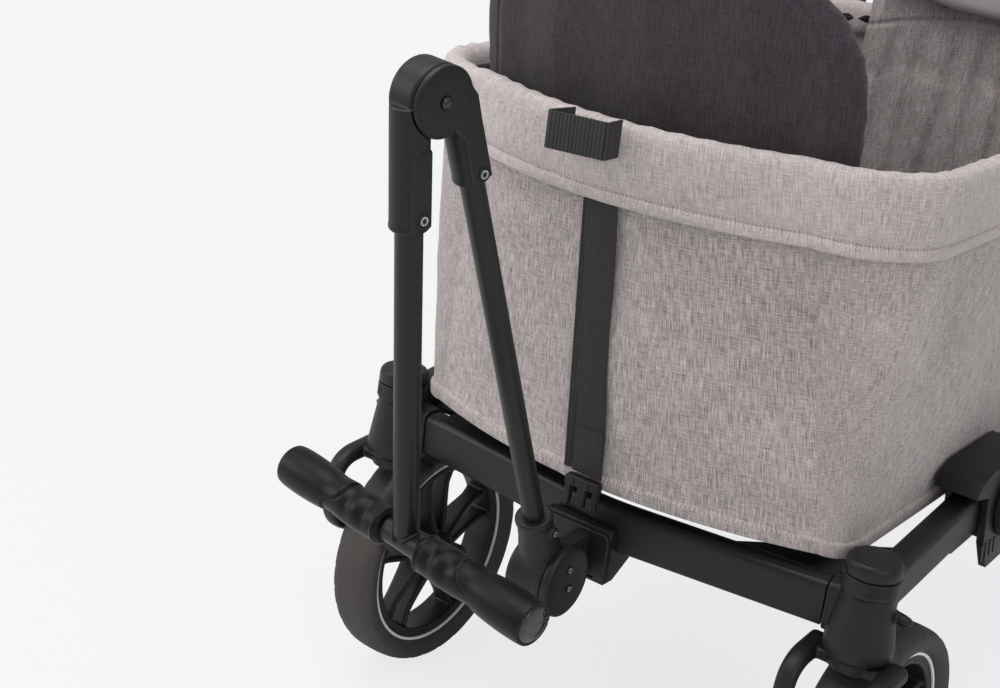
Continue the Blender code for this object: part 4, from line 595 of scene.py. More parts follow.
for side_name, side in SIDES:
    centre_x = side * TRACK_HALF
    base = Vector((centre_x, CASTER_Y, 0))
    body = lathe("housing_body", [(0.0290, 0.0), (0.0318, 0.0010), (0.0324, 0.004), (0.0322, 0.012),
                                  (0.0245, 0.0600), (0.0240, 0.0625)], base + Vector((0, 0, HOUSING_FOOT)),
                 (0, 0, 1), 72)
    sleeve_path = [Vector((side * x, bar_y(x), BAR_Z)) for x in (0.2360, 0.2450, 0.2560, 0.2650)]
    bar_sleeve = sweep("bar_sleeve", sleeve_path, box_section(0.0306, 0.0494, 0.010, 0.005))
    rail_slope = (FOLD_Z - RAIL_Z) / 0.265
    rail_sleeve = sweep("rail_sleeve", [Vector((centre_x, CASTER_Y + y, RAIL_Z + rail_slope * (y - 0.0335)))
                                        for y in (0.008, 0.020, 0.0328)],
                        box_section(0.0324, 0.0484, 0.0105, 0.0105))
    knob = sweep("knob", [Vector((centre_x + side * x, CASTER_Y + 0.010 + y, 0.3117 + z))
                          for x, y, z in ((0.020, 0, 0.002), (0.030, 0, 0.0005), (0.0345, 0, 0.0),
                                          (0.0372, 0, 0.001), (0.0382, 0, 0.003))],
                 circle_section(0.0056, 24), size=lambda t: 1 - 0.25 * max(t - 0.6, 0) / 0.4)
    foot_ring = lathe("foot_ring", [(0.026, 0), (0.0312, 0.0006), (0.0312, 0.003), (0.028, 0.004)],
                      base + Vector((0, 0, HOUSING_FOOT - 0.0003)), (0, 0, 1))
    housing = moulded(f"caster_housing_shell_{side_name}", [body, bar_sleeve, rail_sleeve, knob, foot_ring],
                      0.0011, 4)
    fit(housing, plastic_black, "front_chassis", "black_plastic", f"caster_housing_{side_name}")

    cap = lathe(f"caster_cap_top_{side_name}", [(0.0240, 0.0), (0.0262, 0.0004), (0.0268, 0.0016),
                                                (0.0267, 0.004), (0.0266, 0.0055), (0.0265, 0.0090),
                                                (0.0264, 0.0125), (0.0263, 0.0145), (0.0260, 0.0160),
                                                (0.0256, 0.0164), (0.0236, 0.0167), (0.0236, 0.0178),
                                                (0.0256, 0.0181), (0.0261, 0.0188), (0.0258, 0.0260),
                                                (0.0250, 0.0292), (0.0236, 0.0314), (0.0215, 0.0324),
                                                (0.0185, 0.0328), (0.0181, 0.0324), (0.0177, 0.0328),
                                                (0.0120, 0.0331), (0.0030, 0.0332)],
                base + Vector((0, 0, 0.3335)), (0, 0, 1), 480, side=(side, 0, 0),
                shape=lambda turn, radius, distance, side=side: knurled(turn * side, radius, distance))
    fit(cap, plastic_black, "front_chassis", "black_plastic", f"caster_cap_{side_name}")


def placed(source, name, place):
    """A new object with its own copy of a mesh, put in place by a matrix."""
    obj = bpy.data.objects.new(name, source.data.copy())
    bpy.context.scene.collection.objects.link(obj)
    obj.data.transform(place)
    return obj


def copied(node, name):
    """A clean copy of a solid's mesh: welded and with its flat faces whole again."""
    obj = placed(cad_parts[node], name, Matrix())
    obj.data.materials.clear()
    modify(obj, "WELD", merge_threshold=0.00002)
    modify(obj, "DECIMATE", decimate_type="DISSOLVE", angle_limit=math.radians(1))
    return obj


for side_name, side in SIDES:
    gusset = soften(copied(f"corner_gusset_{side_name}", f"corner_gusset_web_{side_name}"), 0.0012, 2)
    fit(gusset, plastic_black, "front_chassis", "black_plastic", f"corner_gusset_{side_name}")


# The casters: a moulded C-shaped fork on each side of the wheel, one piece with its crown and stem, with a
# boss at each end for the axle; the axle is a plated pin with a hexagon head at its outer end.
AXLE_Z = 0.132
ARM_ROOM, TYRE_ROOM = 0.0306, 0.1345
zinc = coating("plated_steel", (0.42, 0.42, 0.43), 0.32, 900, 0.00003, metallic=0.9)


def hexagon(turn, reach):
    """A hexagon's reach at this turn, with its corners at the full reach."""
    return reach * math.cos(math.pi / 6) / math.cos((turn + math.pi / 6) % (math.pi / 3) - math.pi / 6)


def bolt_head(name, place, along, radius, height, body):
    """A hexagon bolt head on a thin washer, outwards along its axis."""
    def six(turn, reach, distance):
        return reach if distance < height * 0.25 or reach < radius * 0.2 else hexagon(turn, reach)

    head = lathe(name, [(radius * 1.25, 0), (radius * 1.3, height * 0.08), (radius * 1.25, height * 0.22),
                        (radius, height * 0.26), (radius, height * 0.85), (radius * 0.88, height),
                        (radius * 0.3, height)], place, along, 48, shape=six)
    fit(head, zinc, body, "zinc_steel")


for side_name, side in SIDES:
    centre_x = side * TRACK_HALF
    parts = [lathe("crown", [(0.022, 0.0), (0.0258, 0.0015), (0.0262, 0.006), (0.0262, 0.0120),
                             (0.0255, 0.0132)], (centre_x, CASTER_Y, 0.2554), (0, 0, 1), 64),
             lathe("stem", [(0.0078, 0), (0.0078, 0.045), (0.0068, 0.0470)], (centre_x, CASTER_Y, 0.2660),
                   (0, 0, 1), 32),
             sweep("bridge", [Vector((centre_x + x, CASTER_Y - 0.006, 0.2622))
                              for x in (-0.046, -0.030, 0, 0.030, 0.046)],
                   box_section(0.028, 0.0120, 0.005, 0.004), up=(0, 0, 1))]
    for leg in (-1, 1):
        x = centre_x + leg * 0.0395
        path = rounded([(x, CASTER_Y + 0.006, 0.2630), (x, CASTER_Y - 0.052, 0.2592),
                        (x, CASTER_Y - 0.056, 0.192), (x, CASTER_Y + TRAIL, AXLE_Z)], 0.036, 14)
        parts.append(sweep("leg", path, box_section(0.0176, 0.0205, 0.0075, 0.0075), up=(1, 0, 0),
                           size=lambda t: 1.0 - 0.10 * math.sin(math.pi * t)))
        parts.append(lathe("boss", [(0.0128, 0), (0.0150, 0.0012), (0.0152, 0.0080), (0.0150, 0.0158),
                                    (0.0130, 0.0170)], (x - 0.0085, CASTER_Y + TRAIL, AXLE_Z), (1, 0, 0),
                           48))
    fork = moulded(f"caster_fork_arms_{side_name}", parts, 0.0012, 5)
    for vertex in fork.data.vertices:
        off = vertex.co.x - centre_x
        reach = math.hypot(vertex.co.y - CASTER_Y - TRAIL, vertex.co.z - AXLE_Z)
        if abs(off) < ARM_ROOM and reach < TYRE_ROOM:
            vertex.co.x = centre_x + math.copysign(ARM_ROOM, off)
    fit(fork, plastic_black, f"caster_{side_name}", "black_plastic", f"caster_fork_{side_name}")
    pin = lathe(f"caster_axle_{side_name}", [(0.0052, 0.0), (0.0058, 0.0006), (0.0058, 0.0990),
                                             (0.0052, 0.0996)],
                (centre_x - 0.0498, CASTER_Y + TRAIL, AXLE_Z), (1, 0, 0), 48)
    fit(pin, zinc, f"caster_{side_name}", "zinc_steel", f"front_axle_{side_name}")
    for way in (-1, 1):
        bolt_head(f"axle_bolt_{side_name}_{'outer' if way == side else 'inner'}",
                  (centre_x + way * 0.0482, CASTER_Y + TRAIL, AXLE_Z), (way, 0, 0), 0.0068, 0.0052,
                  f"caster_{side_name}")

# The four wheels: one moulding of rim, hub and five pairs of blade spokes, with a white ring pressed into
# each face of the rim, and a foamed rubber tyre with a wave tread.
WHEEL_STEPS = 180


def wheel_moulding():
    rim = lathe("rim", [(0.0950, -0.0165), (0.0958, -0.0178), (0.0985, -0.0180), (0.1000, -0.0166),
                        (0.1030, -0.0160), (0.1050, -0.0178), (0.1076, -0.0176), (0.1076, 0.0176),
                        (0.1050, 0.0178), (0.1030, 0.0160), (0.1000, 0.0166), (0.0985, 0.0180),
                        (0.0958, 0.0178), (0.0950, 0.0165), (0.0944, 0.006), (0.0942, 0.0),
                        (0.0944, -0.006)], (0, 0, 0), (1, 0, 0), WHEEL_STEPS, wrap=True)
    parts = [rim, lathe("hub", [(0.0085, 0), (0.0140, 0.0008), (0.0150, 0.004), (0.0190, 0.0065),
                                (0.0208, 0.010), (0.0212, 0.0300), (0.0208, 0.050), (0.0190, 0.0535),
                                (0.0150, 0.056), (0.0140, 0.0592), (0.0085, 0.0600)], (-0.030, 0, 0),
                        (1, 0, 0), 64)]
    for pair in range(5):
        turn = math.radians(90 + 72 * pair)
        out = Vector((0, math.cos(turn), math.sin(turn)))
        beside = Vector((0, -math.sin(turn), math.cos(turn)))
        for blade in (-1, 1):
            rings = []
            for i in range(13):
                t = i / 12
                reach = 0.013 + 0.084 * t
                spread = 0.0047 + 0.0116 * t + 0.0022 * math.sin(math.pi * t)
                flare = 0.0050 * max(t - 0.75, 0) / 0.25
                deep = 0.0200 - 0.0105 * math.sin(math.pi * min(t * 1.2, 1) * 0.5) + flare
                section = box_section(0.0064 + 0.0016 * (1 - t), 2 * deep, 0.0030, 0.0030, 4)
                foot = out * reach + beside * blade * spread
                rings.append([foot + beside * a + Vector((b, 0, 0)) for a, b in section])
            parts.append(skin("blade", rings))
    return moulded("wheel_moulding", parts, 0.0013, 4)


def bump_at(value, middle, width):
    """A smooth bump, 1 at its middle and 0 well past its width."""
    return math.exp(-((value - middle) / width) ** 2)


def wheel_tyre():
    profile = [(0.1082, -0.0150), (0.1082, -0.0188), (0.1098, -0.0215), (0.1120, -0.0238), (0.1160, -0.0262),
               (0.1205, -0.0275), (0.1240, -0.0274), (0.1262, -0.0262), (0.1280, -0.0240), (0.1292, -0.0215),
               (0.1302, -0.0190), (0.1308, -0.0165), (0.1312, -0.0140), (0.1316, -0.0100), (0.1319, -0.0050),
               (0.1320, 0.0)]
    profile += [(radius, -along) for radius, along in reversed(profile[:-1])]

    def waves(turn, radius, along):
        edge = abs(along)
        if radius < 0.1255:
            return radius
        wave = 0.0225 + 0.0028 * math.sin(turn * 30)
        groove = bump_at(edge, wave, 0.0011)
        middle = bump_at(along, 0.0045 * math.sin(turn * 30), 0.0013)
        return radius - 0.0013 * groove - 0.0010 * middle

    return lathe("wheel_tyre", profile, (0, 0, 0), (1, 0, 0), 720, wrap=True, side=(0, 0, 1), shape=waves)


def face_ring():
    """The white ring: a flat band let into the rim's face where the tyre begins."""
    return lathe("face_ring", [(0.1050, 0.0165), (0.1050, 0.0190), (0.1056, 0.0196), (0.1074, 0.0196),
                               (0.1081, 0.0190), (0.1081, 0.0165)], (0, 0, 0), (1, 0, 0), WHEEL_STEPS,
                 wrap=True)


rubber = Finish("foam_rubber")
rubber_place = rubber.place()
scuff = rubber.noise(rubber_place, 26.0, 5.0, 0.65)
pore = rubber.noise(rubber_place, 700.0, 2.0)
rubber.shade(base_color=rubber.mix(scuff, colour(0.030, 0.027, 0.025), colour(0.066, 0.057, 0.051)),
             roughness=(scuff - 0.5) * 0.2 + 0.72, normal=rubber.bump(pore + scuff * 0.6, 0.5, 0.00025))
white = coating("white_ring", (0.78, 0.79, 0.78), 0.34, 600, 0.00003)

moulding, tyre, ring = wheel_moulding(), wheel_tyre(), face_ring()
for end, side_name, side in (("front", "left", -1), ("front", "right", 1), ("rear", "left", -1),
                             ("rear", "right", 1)):
    axle_y = CASTER_Y + TRAIL if end == "front" else middle_y("rear_axle")
    place = Matrix.Translation((side * TRACK_HALF, axle_y, AXLE_Z))
    body = f"{end}_wheel_{side_name}"
    fit(placed(moulding, f"wheel_spokes_{end}_{side_name}", place), plastic_black, body, "black_plastic",
        body)
    fit(placed(tyre, f"wheel_tyre_{end}_{side_name}", place), rubber.material, body, "tyre_rubber",
        f"{end}_tyre_{side_name}")
    for way, turned in ((-1, Matrix.Rotation(math.pi, 4, "Z")), (1, Matrix())):
        band = placed(ring, f"wheel_ring_{end}_{side_name}_{'out' if way == side else 'in'}", place @ turned)
        fit(band, white, body, "black_plastic")
for source in (moulding, tyre, ring):
    bpy.data.objects.remove(source)

# The pull bar from the knee outwards: the lower tube, the folding knee, and the hanging upper tube with its
# T and two grips. Sizes are in the bar's own frame: x along the knee's bolt, z up the lower tube.
KNEE_BOLT = Vector((-0.003284, CASTER_Y - 0.342163, 0.755881))
BAR_X = Vector((0.990268, -0.127533, -0.055718))
BAR_UP = Vector((0.0, -0.400349, 0.916363))
BAR_BACK = BAR_UP.cross(BAR_X)
BAR_FRAME = Matrix.Translation(KNEE_BOLT) @ Matrix((BAR_X, BAR_BACK, BAR_UP)).transposed().to_4x4()
HANG = Vector((0, -math.sin(math.radians(14.2)), -math.cos(math.radians(14.2))))
HANG_FRONT = Vector((0, HANG.z, -HANG.y))
UPPER_START = HANG_FRONT * 0.0200
UPPER_FOOT = UPPER_START + HANG * 0.393
LOWER_START = Vector((0, 0.0236, -0.0003))
DOWN = Vector((0, 0, -1))
PLATE_LOW, PLATE_HIGH = 0.0121, 0.0170
CROSS_RADIUS, UPPER_RADIUS = 0.0110, 0.0112


def fit_to_bar(obj, *rest):
    """Puts a piece that is made in the bar's own frame in place and fits it."""
    obj.data.transform(BAR_FRAME)
    fit(obj, *rest)


def drum(name, low, high, radius, edge=0.0025, place=(0, 0, 0)):
    """A disc turned about x, with rounded edges."""
    profile = [(radius - edge * (1 - math.sin(math.radians(a))), low + edge * (1 - math.cos(math.radians(a))))
               for a in (0, 22, 45, 68, 90)]
    profile += [(r, low + high - d) for r, d in reversed(profile)]
    return lathe(name, profile, place, (1, 0, 0), 96)


def socket_body(start, along, radius, length, rib_top):
    """A round socket that runs into a flat rib on the bar's right, towards the side plate."""
    shell = lathe("socket", [(radius * 0.93, 0.0), (radius, 0.0015), (radius, length - 0.0060),
                             (radius + 0.0004, length - 0.0045), (radius + 0.0004, length - 0.0015),
                             (radius - 0.0016, length)], start, along, 64)
    front = Vector((0, along.z, -along.y))
    corners = [start + along * rib_top + front * 0.0090, start + along * (length - 0.0035) + front * 0.0090,
               start + along * (length - 0.0035) - front * 0.0090, start + along * rib_top - front * 0.0090]
    rib = board("rib", [(p.y, p.z) for p in corners], 0.0, PLATE_HIGH - 0.0002)
    return [shell, soften(rib, 0.0016, 2)]


def socket_screw(name, place, along, body, radius=0.0041):
    """A plated socket screw sunk in a moulded eye."""
    place, along = Vector(place), Vector(along)

    def six(turn, reach, distance):
        return reach if reach > radius * 0.62 else hexagon(turn, reach)

    head = lathe(name, [(radius, -0.0010), (radius, 0.0004), (radius * 0.93, 0.0009),
                        (radius * 0.70, 0.0010), (radius * 0.58, 0.0008), (radius * 0.56, -0.0006),
                        (radius * 0.1, -0.0007)], place, along, 48, shape=six)
    fit_to_bar(head, zinc, body, "zinc_steel")
    eye = lathe(name + "_eye", [(radius * 1.55, -0.0008), (radius * 1.52, 0.0004), (radius * 1.38, 0.0008),
                                (radius * 1.22, 0.0006), (radius * 1.10, -0.0006)], place, along, 48,
                wrap=True)
    fit_to_bar(eye, plastic_black, body, "black_plastic")


upper_parts = [drum("barrel", -0.0165, 0.0112, 0.0285, 0.0035)]
neck = [Vector((0, 0, 0)), *(Vector((0, math.cos(a), math.sin(a))) * 0.0262
                             for a in (math.radians(148), math.radians(166)))]
neck += [HANG_FRONT * 0.0276 + HANG * 0.0015, UPPER_START + HANG_FRONT * 0.0138 + HANG * 0.0080,
         UPPER_START + HANG_FRONT * 0.0138 + HANG * 0.0400, UPPER_START - HANG_FRONT * 0.006 + HANG * 0.0460]
upper_parts.append(soften(board("neck", [(p.y, p.z) for p in neck], -0.0085, 0.0100), 0.0025, 3))
upper_parts += socket_body(UPPER_START + HANG * 0.0008, HANG, 0.0157, 0.1012, 0.034)
upper_room = drum("upper_room", PLATE_LOW - 0.0006, 0.040, 0.0300, 0.0003)
knee_upper = moulded("knee_upper_half", upper_parts, 0.0009, 5, [upper_room])
fit_to_bar(knee_upper, plastic_black, "pull_upper", "black_plastic", "knee_upper")
socket_screw("knee_upper_screw", UPPER_START + HANG * 0.090 + Vector((PLATE_HIGH, 0, 0)), (1, 0, 0),
             "pull_upper")

web_points = [Vector((0, 0.0262, 0.006)), Vector((0, 0.0326, -0.010)), Vector((0, 0.0322, -0.045)),
              Vector((0, 0.0150, -0.045)), Vector((0, 0.006, -0.0272)), Vector((0, 0, -0.004))]
web = soften(board("web", [(p.y, p.z) for p in web_points], PLATE_LOW, PLATE_HIGH - 0.0003), 0.0008, 2)
lower_parts = [web, *socket_body(LOWER_START + DOWN * 0.026, DOWN, 0.0147, 0.0607, 0.008)]
lower_room = drum("lower_room", -0.040, PLATE_LOW - 0.0004, 0.0302, 0.0003)
knee_lower = moulded("knee_lower_half", lower_parts, 0.0009, 4, [lower_room])
fit_to_bar(knee_lower, plastic_black, "pull_lower", "black_plastic", "knee_lower")
plate = lathe("knee_side_plate", [(0.0276, 0.0), (0.0285, 0.0008), (0.0285, 0.0040), (0.0279, 0.0049),
                                  (0.0268, 0.0052), (0.0262, 0.0048), (0.0256, 0.0051), (0.0140, 0.0052),
                                  (0.0062, 0.0052), (0.0056, 0.0046)], (PLATE_LOW, 0, 0), (1, 0, 0), 128)
fit_to_bar(plate, plastic_black, "pull_lower", "black_plastic")
gloss = coating("gloss_black", (0.012, 0.012, 0.013), 0.12, 300, 0.00001, coat=0.6)
rivet = lathe("knee_rivet", [(0.0048, 0.0), (0.0048, 0.0008), (0.0044, 0.0018), (0.0036, 0.0026),
                             (0.0022, 0.0031), (0.0006, 0.0033)], (PLATE_HIGH + 0.0002, 0, 0), (1, 0, 0),
              48)
fit_to_bar(rivet, gloss, "pull_lower", "black_plastic")
socket_screw("knee_lower_screw", LOWER_START + DOWN * 0.0770 + Vector((PLATE_HIGH, 0, 0)), (1, 0, 0),
             "pull_lower")

lower_tube = lathe("lower_tube", [(0.0102, 0), (0.0102, 0.4475)], LOWER_START + DOWN * 0.5000
                   + Vector((0, 0, 0.0003)), (0, 0, 1), 64)
fit_to_bar(lower_tube, tube_black, "pull_lower", "coated_tube", "pull_tube_lower")

upper_tube = lathe("upper_tube", [(UPPER_RADIUS, 0.0), (UPPER_RADIUS, 0.329)], UPPER_START + HANG * 0.0640,
                   HANG, 64)
cross_tube = lathe("cross_tube", [(0.0100, 0.0), (CROSS_RADIUS, 0.0010), (CROSS_RADIUS, 0.2930),
                                  (0.0100, 0.2940)], UPPER_FOOT + Vector((-0.147, 0, 0)), (1, 0, 0), 64)
beads = []
for i in range(40):
    turn = 2 * math.pi * i / 40
    out = Vector((math.cos(turn), 0, 0)) + HANG_FRONT * math.sin(turn)
    drop = math.sqrt(max(UPPER_RADIUS ** 2 - (UPPER_RADIUS * math.sin(turn)) ** 2 * 0.98, 0))
    beads.append(UPPER_FOOT - HANG * drop + out * 0.0117 * (1 + 0.03 * noise.noise(Vector((i * 1.3, 4, 0)))))
weld = sweep("weld", beads, circle_section(0.0019, 12), up=HANG, wrap=True)
joined([upper_tube, cross_tube, weld])
fit_to_bar(upper_tube, tube_black, "pull_upper", "coated_tube", "pull_tube_upper")


def grip_skin(side):
    """One grip: finger waves at its inner half, an S-shaped joint and a fuller outer half."""
    def around(s, turn, reach):
        """A point of the grip, reach from the T's centre line, at this length and turn."""
        out = HANG_FRONT * math.sin(turn) - HANG * math.cos(turn)
        return UPPER_FOOT + Vector((side * s, 0, 0)) + out * reach

    turns = [2 * math.pi * i / 144 for i in range(144)]
    rings = [[around(0.0226, turn, 0.0115) for turn in turns]]
    for s in np.linspace(0, 1, 151):
        along = 0.0228 + 0.1290 * s
        ends = min(s / 0.035, 1.0) ** 0.5 * (1 - 0.16 * max(s - 0.965, 0) / 0.035)
        lip = 0.0010 * bump_at(s, 0.030, 0.016)
        fuller = 0.0172 + 0.0014 * bump_at(s, 0.26, 0.16) + 0.0022 * bump_at(s, 0.84, 0.26)
        waist = -0.0008 * bump_at(s, 0.53, 0.08)
        ring = []
        for turn in turns:
            top = max(math.cos(turn - math.radians(35)), 0) ** 2
            wave = -0.0024 * top * (bump_at(s, 0.15, 0.046) + 0.9 * bump_at(s, 0.31, 0.050))
            seam_at = 0.47 + 0.085 * math.tanh(3.0 * math.sin(turn - math.radians(70)))
            seam = -0.0013 * bump_at(s, seam_at, 0.009) + 0.0007 * math.tanh((s - seam_at) / 0.012)
            parting = -0.0007 * bump_at(math.degrees(turn), 250, 2.6)
            reach = (fuller + waist + lip + wave + seam + parting) * (0.86 + 0.14 * ends)
            ring.append(around(along, turn, reach))
        rings.append(ring)
    return skin("grip", rings)


grip_black = coating("grip_rubber", (0.0042, 0.0040, 0.0044), 0.40, 1800, 0.00006, gloss=0.20)
for side_name, side in SIDES:
    grip = grip_skin(side)
    grip.name = f"grip_sleeve_{side_name}"
    fit_to_bar(grip, grip_black, "pull_upper", "grip_rubber", f"grip_{side_name}")
    end_cap = lathe(f"grip_cap_{side_name}", [(0.0156, 0.0), (0.0159, 0.0006), (0.0156, 0.0014),
                                              (0.0146, 0.0020), (0.0090, 0.0026), (0.0010, 0.0028)],
                    UPPER_FOOT + Vector((side * 0.1512, 0, 0)), (side, 0, 0), 96, side=-HANG)
    for vertex in end_cap.data.vertices:
        off = (vertex.co - UPPER_FOOT).dot(HANG_FRONT * 0.5 + HANG * 0.866) + 0.004
        vertex.co.x -= side * 0.0009 * bump_at(off, 0, 0.0008)
    fit_to_bar(end_cap, gloss, "pull_upper", "black_plastic")

# The hub of the pull bar: two cheeks round the bracket's tongue, a flanged cover with two screws, and a
# socket with a collar at its mouth for the lower tube, held by a third screw. Shell and cover are moulded.
HUB = Vector((0, CASTER_Y - 0.106, 0.2737))
cheek_left = drum("cheek_left", -0.0225, -0.0092, 0.0335, 0.0030, place=HUB)
cheek_right = drum("cheek_right", 0.0092, 0.0176, 0.0335, 0.0005, place=HUB)
arc = [(0.0333, a) for a in range(76, 224, 6)] + [(0.0232, a) for a in range(222, 75, -6)]
arc = [(HUB.y + math.cos(math.radians(a)) * reach, HUB.z + math.sin(math.radians(a)) * reach)
       for reach, a in arc]
saddle = board("hub_middle", arc, -0.012, 0.012)
sleeve = lathe("hub_sleeve", [(0.0215, 0.024), (0.0208, 0.030), (0.0190, 0.042), (0.0172, 0.056),
                              (0.0166, 0.0690), (0.0176, 0.0705), (0.0180, 0.0735), (0.0176, 0.0765),
                              (0.0160, 0.0775)], HUB, BAR_UP, 96)
ear = lathe("hub_ear", [(0.0062, 0.0), (0.0062, 0.0186), (0.0056, 0.0194)], HUB + BAR_UP * 0.0600
            + Vector((0, 0.0035, 0)), (1, 0, 0), 40)
room = ((0.004, -0.060), (0.060, -0.050), (0.060, 0.0465), (-0.0055, 0.0230), (0.004, 0.0))
tongue_room = board("tongue_room", [(HUB.y + y, HUB.z + z) for y, z in room], -0.0090, 0.0090)
hub_cup = drum("hub_cup", -0.0090, 0.0090, 0.0230, 0.0002, place=HUB)
hub_shell = moulded("pull_hub_shell", [cheek_left, cheek_right, saddle, sleeve, ear], 0.0010, 4,
                    [tongue_room, hub_cup])
fit(hub_shell, plastic_black, "pull_hub", "black_plastic", "pull_hub")
cover = lathe("pull_hub_cover", [(0.0330, 0.0), (0.0343, 0.0008), (0.0345, 0.0030), (0.0345, 0.0062),
                                 (0.0340, 0.0076), (0.0330, 0.0083), (0.0322, 0.0080), (0.0314, 0.0083),
                                 (0.0150, 0.0084), (0.0010, 0.0084)], HUB + Vector((0.0184, 0, 0)),
              (1, 0, 0), 128)
fit(cover, plastic_black, "pull_hub", "black_plastic")


def hub_screw(name, place):
    local = BAR_FRAME.inverted() @ Vector(place)
    socket_screw(name, local, BAR_FRAME.to_3x3().inverted() @ Vector((1, 0, 0)), "pull_hub", 0.0030)


hub_screw("hub_screw_upper", HUB + Vector((0.0272, 0.0015, 0.0125)))
hub_screw("hub_screw_lower", HUB + Vector((0.0272, 0.0040, -0.0075)))
hub_screw("hub_sleeve_screw", HUB + BAR_UP * 0.0600 + Vector((0.0196, 0.0035, 0)))

# The bracket under the front crossbar: a saddle with a rounded face plate, a gusset and three windows in its
# side, and the tongue that the hub closes on. Moulded round a steel insert and bolted through the bar.
bracket = soften(copied("pull_bar_bracket", "pull_bar_saddle"), 0.0010, 2, 35)
saddle_front = bar_y(0.03) - 0.025
face = soften(board("saddle_face", rounded([(-0.0460, 0.2560), (-0.0460, 0.3030), (0.0300, 0.3030),
                                            (0.0300, 0.2560)], 0.008, 5), saddle_front - 0.0052,
                    saddle_front + 0.004), 0.0014, 3)
SWAP_X_Y = Matrix(((0, 1, 0, 0), (1, 0, 0, 0), (0, 0, 1, 0), (0, 0, 0, 1)))
face.data.transform(SWAP_X_Y)
face.data.flip_normals()
fit(joined([bracket, face]), plastic_black, "front_chassis", "black_plastic", "pull_bar_bracket")

# The fold blocks and their round covers, one set on each side at both ends of the middle: moulded cheeks
# round the rail's eye, with louvres under the nose, and a ribbed cover over the pivot bolt.
for end, sign in (("front", -1), ("rear", 1)):
    for side_name, side in SIDES:
        block = soften(copied(f"fold_block_{end}_{side_name}", f"fold_block_shell_{end}_{side_name}"),
                       0.0024, 3, 28)
        low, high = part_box(f"fold_block_{end}_{side_name}")
        outer = high[0] if side > 0 else low[0]
        fold_y = MIDDLE_Y + sign * FOLD_REACH
        louvres = []
        for i in range(4):
            y = fold_y + sign * (0.018 + 0.0105 * i)
            louvres.append(soften(board("louvre", [(y - 0.0022, FOLD_Z - 0.060),
                                                   (y + 0.0022, FOLD_Z - 0.060),
                                                   (y + 0.0022 + sign * 0.006, FOLD_Z - 0.041),
                                                   (y - 0.0022 + sign * 0.006, FOLD_Z - 0.041)],
                                        outer - side * 0.001, outer + side * 0.0011), 0.0006, 2))
        fit(joined([block, *louvres]), plastic_black, "centre_frame", "black_plastic",
            f"fold_block_{end}_{side_name}")
        low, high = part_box(f"fold_disc_{end}_{side_name}")
        face_x = high[0] if side > 0 else low[0]
        disc = lathe(f"fold_cover_{end}_{side_name}", [(0.0078, -0.0250), (0.0080, 0.0), (0.0440, 0.0),
                                                       (0.0450, 0.0010), (0.0450, 0.0075), (0.0440, 0.0095),
                                                       (0.0415, 0.0108), (0.0395, 0.0112), (0.0385, 0.0104),
                                                       (0.0375, 0.0112), (0.0240, 0.0114), (0.0225, 0.0102),
                                                       (0.0205, 0.0102), (0.0190, 0.0113),
                                                       (0.0010, 0.0115)],
                     (face_x - side * 0.0115, fold_y, FOLD_Z), (side, 0, 0), 96)
        fit(disc, plastic_black, "centre_frame", "black_plastic", f"fold_disc_{end}_{side_name}")
        bolt_head(f"fold_bolt_{end}_{side_name}", (face_x - side * 0.0008, fold_y, FOLD_Z), (side, 0, 0),
                  0.0060, 0.0040, "centre_frame")

# The middle of the frame: two short rails with three cross tubes welded between them, the two posts that
# carry the rim, and the two rim hoops of bent tube that turn on the posts' pins.
for node, body in (("centre_frame", "centre_frame"), ("rim_post_left", "centre_frame"),
                   ("rim_post_right", "centre_frame"), ("front_rim_hoop", "front_hoop"),
                   ("rear_rim_hoop", "rear_hoop")):
    fit(smooth(copied(node, node + "_tube"), 48), tube_black, body, "coated_tube", node)

# The rear end: corner blocks that hold bar, rail, axle leg and handle stem, the through axle, the brake
# pedal, and the push handle, a bent tube on two hinge drums with a foam grip.
for side_name, side in SIDES:
    corner = soften(copied(f"rear_corner_{side_name}", f"rear_corner_block_{side_name}"), 0.0016, 3, 35)
    fit(corner, plastic_black, "rear_chassis", "black_plastic", f"rear_corner_{side_name}")
    stem = smooth(copied(f"handle_stem_{side_name}", f"handle_stem_tube_{side_name}"), 48)
    fit(stem, tube_black, "rear_chassis", "coated_tube", f"handle_stem_{side_name}")
rear_axle_y = middle_y("rear_axle")
rear_axle = lathe("rear_axle_pin", [(0.0052, 0.0), (0.0058, 0.0006), (0.0058, 0.6210), (0.0052, 0.6216)],
                  (-0.3108, rear_axle_y, AXLE_Z), (1, 0, 0), 48)
fit(rear_axle, zinc, "rear_chassis", "zinc_steel", "rear_axle")
for side_name, side in SIDES:
    bolt_head(f"rear_axle_nut_{side_name}", (side * 0.3060, rear_axle_y, AXLE_Z), (side, 0, 0), 0.0068,
              0.0052, "rear_chassis")
pedal = soften(copied("brake_pedal", "brake_pedal_bar"), 0.0010, 3, 30)
fit(pedal, zinc, "brake_pedal", "zinc_steel", "brake_pedal")
hinge_y, hinge_z = rear_axle_y + 0.150, 0.7017
top_y, top_z = hinge_y + 0.080, hinge_z + 0.245
handle_x = 0.309
path = rounded([(handle_x, hinge_y, hinge_z), (handle_x, top_y, top_z), (-handle_x, top_y, top_z),
                (-handle_x, hinge_y, hinge_z)], 0.060, 14)
bow = [sweep("push_bow", path, circle_section(0.0105, 40), up=(0, 1, 0))]
for low, high in ((handle_x - 0.0104, handle_x + 0.0134), (-handle_x - 0.0134, -handle_x + 0.0104)):
    bow.append(drum("bow_hub", low, high, 0.0220, 0.0022, place=(0, hinge_y, hinge_z)))
fit(joined(bow), tube_black, "push_handle", "coated_tube", "push_handle")
foam = coating("foam_grip", (0.022, 0.021, 0.021), 0.85, 500, 0.0004)
foam_profile = [(0.0112, 0.0), (0.0150, 0.0006), (0.0163, 0.0030)]
foam_profile += [(0.0165 - 0.0005 * (i % 2), 0.006 + 0.0035 * i) for i in range(95)]
